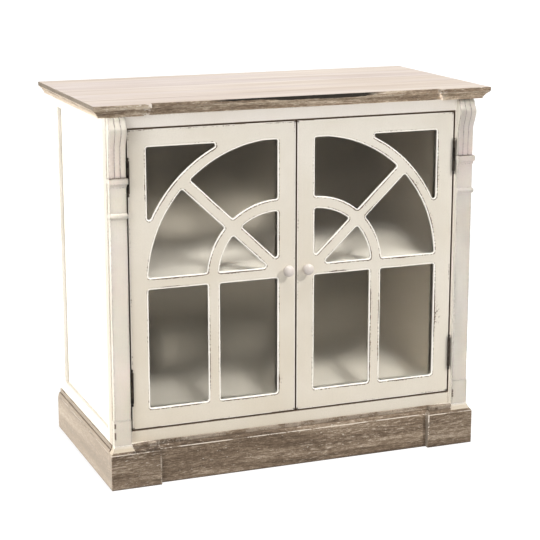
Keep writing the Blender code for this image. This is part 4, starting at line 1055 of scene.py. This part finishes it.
def offset(loop, amounts):
    """Moves each point of a closed loop outwards, away from what it encloses."""
    n = len(loop)
    area2 = sum(loop[i][0] * loop[(i + 1) % n][1] - loop[(i + 1) % n][0] * loop[i][1] for i in range(n))
    s = 1.0 if area2 > 0 else -1.0
    out = []
    for i in range(n):
        a, b, c = Vector(loop[i - 1]), Vector(loop[i]), Vector(loop[(i + 1) % n])
        d1, d2 = (b - a).normalized(), (c - b).normalized()
        n1, n2 = Vector((d1.y, -d1.x)) * s, Vector((d2.y, -d2.x)) * s
        m = (n1 + n2).normalized()
        k = amounts[i] / max(0.35, m.dot(n1))
        out.append((b.x + m.x * k, b.y + m.y * k))
    return out


# where the paint is rubbed through most: side, distance from the centre, height, reach, strength
RUBBED = [
    (-1, 0.140, 0.4400, 0.022, 1.2), (-1, 0.105, 0.4400, 0.025, 0.6), (-1, 0.270, 0.4400, 0.050, 0.55), (-1, 0.255, 0.163, 0.040, 0.55), (-1, 0.115, 0.163, 0.035, 0.5),
    (-1, 0.262, 0.600, 0.040, 0.5), (-1, 0.300, 0.690, 0.012, 0.7), (-1, 0.042, 0.190, 0.020, 0.6), (-1, 0.170, 0.300, 0.070, 0.3), (-1, 0.326, 0.650, 0.060, 0.35),
    (1, 0.275, 0.600, 0.025, 0.9), (1, 0.320, 0.520, 0.035, 0.7), (1, 0.171, 0.330, 0.045, 0.7), (1, 0.171, 0.230, 0.050, 0.6), (1, 0.326, 0.300, 0.090, 0.5),
    (1, 0.250, 0.163, 0.035, 0.7), (1, 0.130, 0.163, 0.050, 0.45), (1, 0.245, 0.4400, 0.030, 0.45), (1, 0.100, 0.4160, 0.030, 0.6), (1, 0.160, 0.450, 0.020, 0.6),
    (1, 0.326, 0.620, 0.040, 0.4), (1, 0.165, 0.560, 0.040, 0.4),
]


def worn_at(sx, p, out, k):
    """How rubbed the paint is beside an opening: out points from the opening into the wood."""
    n = mnoise.noise(Vector((p[0] * 19 + 3.1 * sx, p[1] * 19, 2.3 * k)))
    face = 0.31 * max(0.0, -out[1]) + 0.27 * max(0.0, sx * out[0]) + 0.12 * max(0.0, -sx * out[0]) + 0.06 * max(0.0, out[1])
    w = face + 0.22 * n
    for s0, u, z, reach, much in RUBBED:
        if s0 == sx:
            d = math.hypot(p[0] - u, p[1] - z) / reach
            if d < 1.6:
                w += much * math.exp(-2.2 * d * d) * (0.75 + 0.5 * n)
    return max(0.0, min(1.0, w))


def spaced(loop, step):
    out = []
    for p, q in zip(loop, loop[1:] + loop[:1]):
        out += line(p, q, step)[:-1]
    return out


def outward(loop):
    flat = offset(loop, [1.0] * len(loop))
    return [Vector((q[0] - p[0], q[1] - p[1])).normalized() for p, q in zip(loop, flat)]


def door_front(side, sx):
    y0, y1 = CASE_FRONT, CASE_FRONT + FRONT_T
    verts, faces, lip, worn, gap = [], [], [], [], []

    def ring(loop, ys, at, rub, edge=0.0):
        base = len(verts)
        for i, p in enumerate(loop):
            verts.append((sx * p[0], ys[i] if isinstance(ys, list) else ys, p[1]))
            lip.append(at)
            worn.append(rub[i] if rub else 0.0)
            level = min(abs(p[1] - DOOR_Z0), abs(p[1] - DOOR_Z1)) < 0.0012
            gap.append(edge if level else edge * 0.5)
        return list(range(base, base + len(loop)))

    fronts, backs = [], []
    steps = 5
    for k, loop in enumerate(openings):
        loop = spaced(loop, 0.003)
        rub = [worn_at(sx, p, o, k) for p, o in zip(loop, outward(loop))]
        # the arris is rubbed unevenly: its radius wanders between 1.3 and 2.3 mm
        rad = [0.0013 + 0.0010 * (0.5 + 0.5 * mnoise.noise(Vector((p[0] * 28 + 5 * k, p[1] * 28, sx * 3.0)))) for p in loop]
        rings = [ring(offset(loop, [q + 0.0042 for q in rad]), y0, 0.0, rub), ring(offset(loop, [q + 0.0021 for q in rad]), y0, 0.5, rub)]
        fronts.append(rings[0])
        for i in range(steps + 1):
            a = math.radians(90 * i / steps)
            out = 0.0001 if i == 0 else 0.0
            rings.append(ring(offset(loop, [q * (1 - math.sin(a)) + out for q in rad]), [y0 + q * (1 - math.cos(a)) for q in rad], 1.0 + i / steps, rub))
        rings.append(ring(offset(loop, [0.0030] * len(loop)), y1 - 0.0006, 2.8, rub))
        rings.append(ring(offset(loop, [0.0033] * len(loop)), y1, 3.0, rub))
        faces.extend(bridge(rings))
        backs.append(rings[-1])
    # outer edge
    cr = 0.0010
    u0, u1, w0, w1 = DOOR_IN, DOOR_OUT, DOOR_Z0, DOOR_Z1
    outer = []
    for cx, cy, s0 in ((u1 - cr, w1 - cr, 0), (u0 + cr, w1 - cr, 90), (u0 + cr, w0 + cr, 180), (u1 - cr, w0 + cr, 270)):
        outer += corner(cx, cy, cr, s0, s0 + 90, 3)
    outer = spaced(outer, 0.004)
    rad = [0.0009 + 0.0006 * (0.5 + 0.5 * mnoise.noise(Vector((p[0] * 20, p[1] * 20, 9.0 + sx)))) for p in outer]
    rub = [max(0.0, min(1.0, 0.06 + 0.40 * mnoise.noise(Vector((p[0] * 14, p[1] * 14, 4.0 + sx))))) for p in outer]
    rings = [ring(offset(outer, [-q - 0.0036 for q in rad]), y0, 0.0, rub), ring(offset(outer, [-q - 0.0018 for q in rad]), y0, 0.5, rub, 1.0)]
    for i in range(4):
        a = math.radians(90 * i / 3)
        out = 0.0001 if i == 0 else 0.0
        rings.append(ring(offset(outer, [-q * (1 - math.sin(a)) - out for q in rad]), [y0 + q * (1 - math.cos(a)) for q in rad], 1.0 + i / 3, rub, 1.0))
    rings.append(ring(outer, y1, 3.0, rub, 1.0))
    faces.extend(bridge(rings))
    hole = [(KNOB_X + 0.0023 * math.cos(2 * math.pi * i / 16), KNOB_Z + 0.0023 * math.sin(2 * math.pi * i / 16)) for i in range(16)]
    hf, hb = ring(hole, y0, 0.0, None), ring(hole, y1, 3.0, None)
    faces.extend(bridge([hf, hb]))
    for loops in ([rings[0]] + fronts + [hf], [rings[-1]] + backs + [hb]):
        flat = [i for loop in loops for i in loop]
        tris = tessellate_polygon([[Vector((verts[i][0], verts[i][2], 0.0)) for i in loop] for loop in loops])
        faces.extend(tuple(flat[i] for i in t) for t in tris)
    return verts, faces, {"lip": lip, "worn": worn, "gap": gap}


def lathe(profile, place, n):
    verts, rows = [], []
    for rad, hgt in profile:
        if rad < 1e-9:
            rows.append([len(verts)] * n)
            verts.append(place(0.0, 0.0, hgt))
        else:
            rows.append(list(range(len(verts), len(verts) + n)))
            for i in range(n):
                a = 2 * math.pi * i / n
                verts.append(place(rad * math.cos(a), rad * math.sin(a), hgt))
    faces = []
    for p, q in zip(rows, rows[1:]):
        for i in range(n):
            j = (i + 1) % n
            quad = []
            for k in (p[i], p[j], q[j], q[i]):
                if k not in quad:
                    quad.append(k)
            if len(quad) > 2:
                faces.append(tuple(quad))
    return verts, faces


for side, sx in (("left", -1), ("right", 1)):
    body = side + "_door"
    v, f, marks = door_front(side, sx)
    piece("door_front_look_" + side, v, f, [PAINT_DOOR], ["door_front_" + side], body, 60.0, attrs=marks)

    prof = [(0.0, 0.0105), (0.0022, 0.0105), (0.0022, GAP), (0.0062, GAP), (0.0067, 0.0006), (0.0070, 0.0014), (0.0067, 0.0021), (0.0058, 0.0028)]
    for t in range(1, 8):
        s = t / 8
        prof.append((0.0050 + 0.0058 * (2 * s - 1) ** 2 * (0.14 if s < 0.5 else 1.0), 0.0028 + 0.0090 * s))
    prof.append((0.0108, 0.0118))
    for i in range(1, 15):
        a = math.radians(-22 + 112 * i / 14)
        prof.append((0.0122 * math.cos(a) if i < 14 else 0.0, 0.0148 + 0.0072 * math.sin(a)))

    def out_front(p, q, hgt, sx=sx):
        return (sx * KNOB_X + p, CASE_FRONT - hgt, KNOB_Z + q)

    v, f = lathe(prof, out_front, 48)
    piece("knob_look_" + side, v, f, [KNOB], ["knob_" + side], body, 50.0, weighted=False)

# ---- hinge pins with turned finials
HINGE_X, HINGE_Y, HINGE_H, HINGE_PIN = 0.3655, -0.2040, 0.0640, 0.0016
for side, sx in (("left", -1), ("right", 1)):
    for level, zlow in (("top", 0.6200), ("bottom", 0.1800)):
        ball = [(0.0029, 0.0004), (0.0032, 0.0008), (0.0032, 0.0013), (0.0024, 0.0018), (0.0016, 0.0022), (0.0013, 0.0028), (0.0015, 0.0033)]
        for i in range(1, 11):
            a = math.radians(-56 + 146 * i / 10)
            ball.append((0.0026 * math.cos(a) if i < 10 else 0.0, 0.0056 + 0.0026 * math.sin(a)))
        prof = [(q, -hh) for q, hh in reversed(ball)] + [(HINGE_PIN, -0.0004), (HINGE_PIN, HINGE_H + 0.0004)] + [(q, HINGE_H + hh) for q, hh in ball]

        def upright(p, q, hh, sx=sx, zlow=zlow):
            return (sx * HINGE_X + p, HINGE_Y + q, zlow + hh)

        v, f = lathe(prof, upright, 28)
        piece("hinge_pin_look_%s_%s" % (side, level), v, f, [BRONZE], ["hinge_pin_%s_%s" % (side, level)], "cabinet", 50.0, weighted=False)

# ------------------------------------------------------------------ CAD pieces that keep their shape
LOOKS = {
    "side_frame": PAINT_SIDE, "side_panel": PAINT_SIDE, "face_stile": PAINT_JAMB, "frieze_rail": PAINT_JAMB, "bottom_rail": PAINT_JAMB, "plinth_back": PAINT_SIDE,
    "door_frame": PAINT_SIDE, "bottom_board": BOARD, "shelf_cleat": INSIDE, "shelf": SHELF, "glazing_bead": BEAD, "back_panel": BACKING,
    "door_glass": GLASS, "knob_screw": STEEL, "strike_plate": STEEL, "magnetic_catch": PLASTIC, "hinge_leaf": BRONZE,
}
SOFT = {"side_frame": 0.0012, "face_stile": 0.0010, "frieze_rail": 0.0008, "bottom_rail": 0.0010, "plinth_back": 0.0010, "bottom_board": 0.0008, "shelf": 0.0015,
        "shelf_cleat": 0.0010, "glazing_bead": 0.0010, "magnetic_catch": 0.0010, "strike_plate": 0.0002, "side_panel": 0.0006, "back_panel": 0.0004, "door_glass": 0.0003}
for name, ob in nodes.items():
    if ob.hide_render:
        continue
    look = [m for k, m in LOOKS.items() if name.startswith(k)]
    ob.data.materials.clear()
    ob.data.materials.append(look[0])
    width = [w for k, w in SOFT.items() if name.startswith(k)]
    weld = ob.modifiers.new("weld", "WELD")
    weld.merge_threshold = 0.00001
    if width:
        bev = ob.modifiers.new("arris", "BEVEL")
        bev.width = width[0]
        bev.segments = 3
        bev.limit_method = "ANGLE"
        bev.angle_limit = math.radians(50)
        bev.harden_normals = True

# ------------------------------------------------------------------ floor
n = 24
me = bpy.data.meshes.new("floor")
fv, ff = [], []
for i in range(n + 1):
    for j in range(n + 1):
        fv.append((-40 + 80 * i / n, -40 + 80 * j / n, 0.0))
for i in range(n):
    for j in range(n):
        a = i * (n + 1) + j
        ff.append((a, a + n + 1, a + n + 2, a + 1))
me.from_pydata(fv, [], ff)
me.materials.append(make_floor("floor_white"))
floor = bpy.data.objects.new("floor", me)
scene.collection.objects.link(floor)
floor.visible_diffuse = False
floor.visible_glossy = False

# Each light is set apart for what it has to show, as flags and masks would do in a studio.
def group(name, test):
    made = bpy.data.collections.new(name)
    for ob in scene.objects:
        if ob.type == "MESH" and not ob.hide_render and test(ob.name):
            made.objects.link(ob)
    return made


ON_SIDE = ("side_frame_left", "side_panel_left", "plinth_side_look_left", "plinth_block_look_left", "cornice_look")
ON_POSTS = ("pilaster_look_left", "pilaster_foot_look_left", "capital_look_left", "corbel_look_left", "face_stile_left")
RIGHT_POST = ("pilaster_look_right", "pilaster_foot_look_right", "capital_look_right", "corbel_look_right")
INTERIOR = ("back_panel", "shelf", "bottom_board", "side_panel", "side_frame", "glazing_bead", "magnetic_catch")
WITHIN = INTERIOR + ("knob_look", "floor")
side_key.light_linking.receiver_collection = group("lit_from_the_side", lambda n: n in ON_SIDE)
post_key.light_linking.receiver_collection = group("posts", lambda n: n in ON_POSTS)
post_soft.light_linking.receiver_collection = group("post_on_the_right", lambda n: n in RIGHT_POST)
front_key.light_linking.receiver_collection = group("lit_in_front", lambda n: n not in ON_SIDE + ON_POSTS + RIGHT_POST and not n.startswith(WITHIN))
from_right.light_linking.receiver_collection = group("lit_from_the_right", lambda n: not n.startswith(INTERIOR))
from_right.light_linking.blocker_collection = group("shade_from_the_right", lambda n: not n.startswith(("top_b", "cornice")) and n not in RIGHT_POST)
from_behind.light_linking.receiver_collection = group("lit_from_behind", lambda n: not n.startswith("top_b"))
on_shelf.light_linking.receiver_collection = group("shelf_behind_glass", lambda n: n == "shelf")
on_boards.light_linking.receiver_collection = group("bottom_behind_glass", lambda n: n == "bottom_board")
on_back.light_linking.receiver_collection = group("back_behind_glass", lambda n: n == "back_panel")
side_key.light_linking.blocker_collection = group("shade_from_the_side", lambda n: not n.startswith(("pilaster", "capital", "corbel", "hinge", "cornice", "top_b", "knob", "floor")))
post_key.light_linking.blocker_collection = group("shade_on_posts", lambda n: not n.startswith(("hinge", "cornice", "top_b", "knob", "floor")))
front_key.light_linking.blocker_collection = group("shade_in_front", lambda n: not n.startswith(("knob", "floor")))
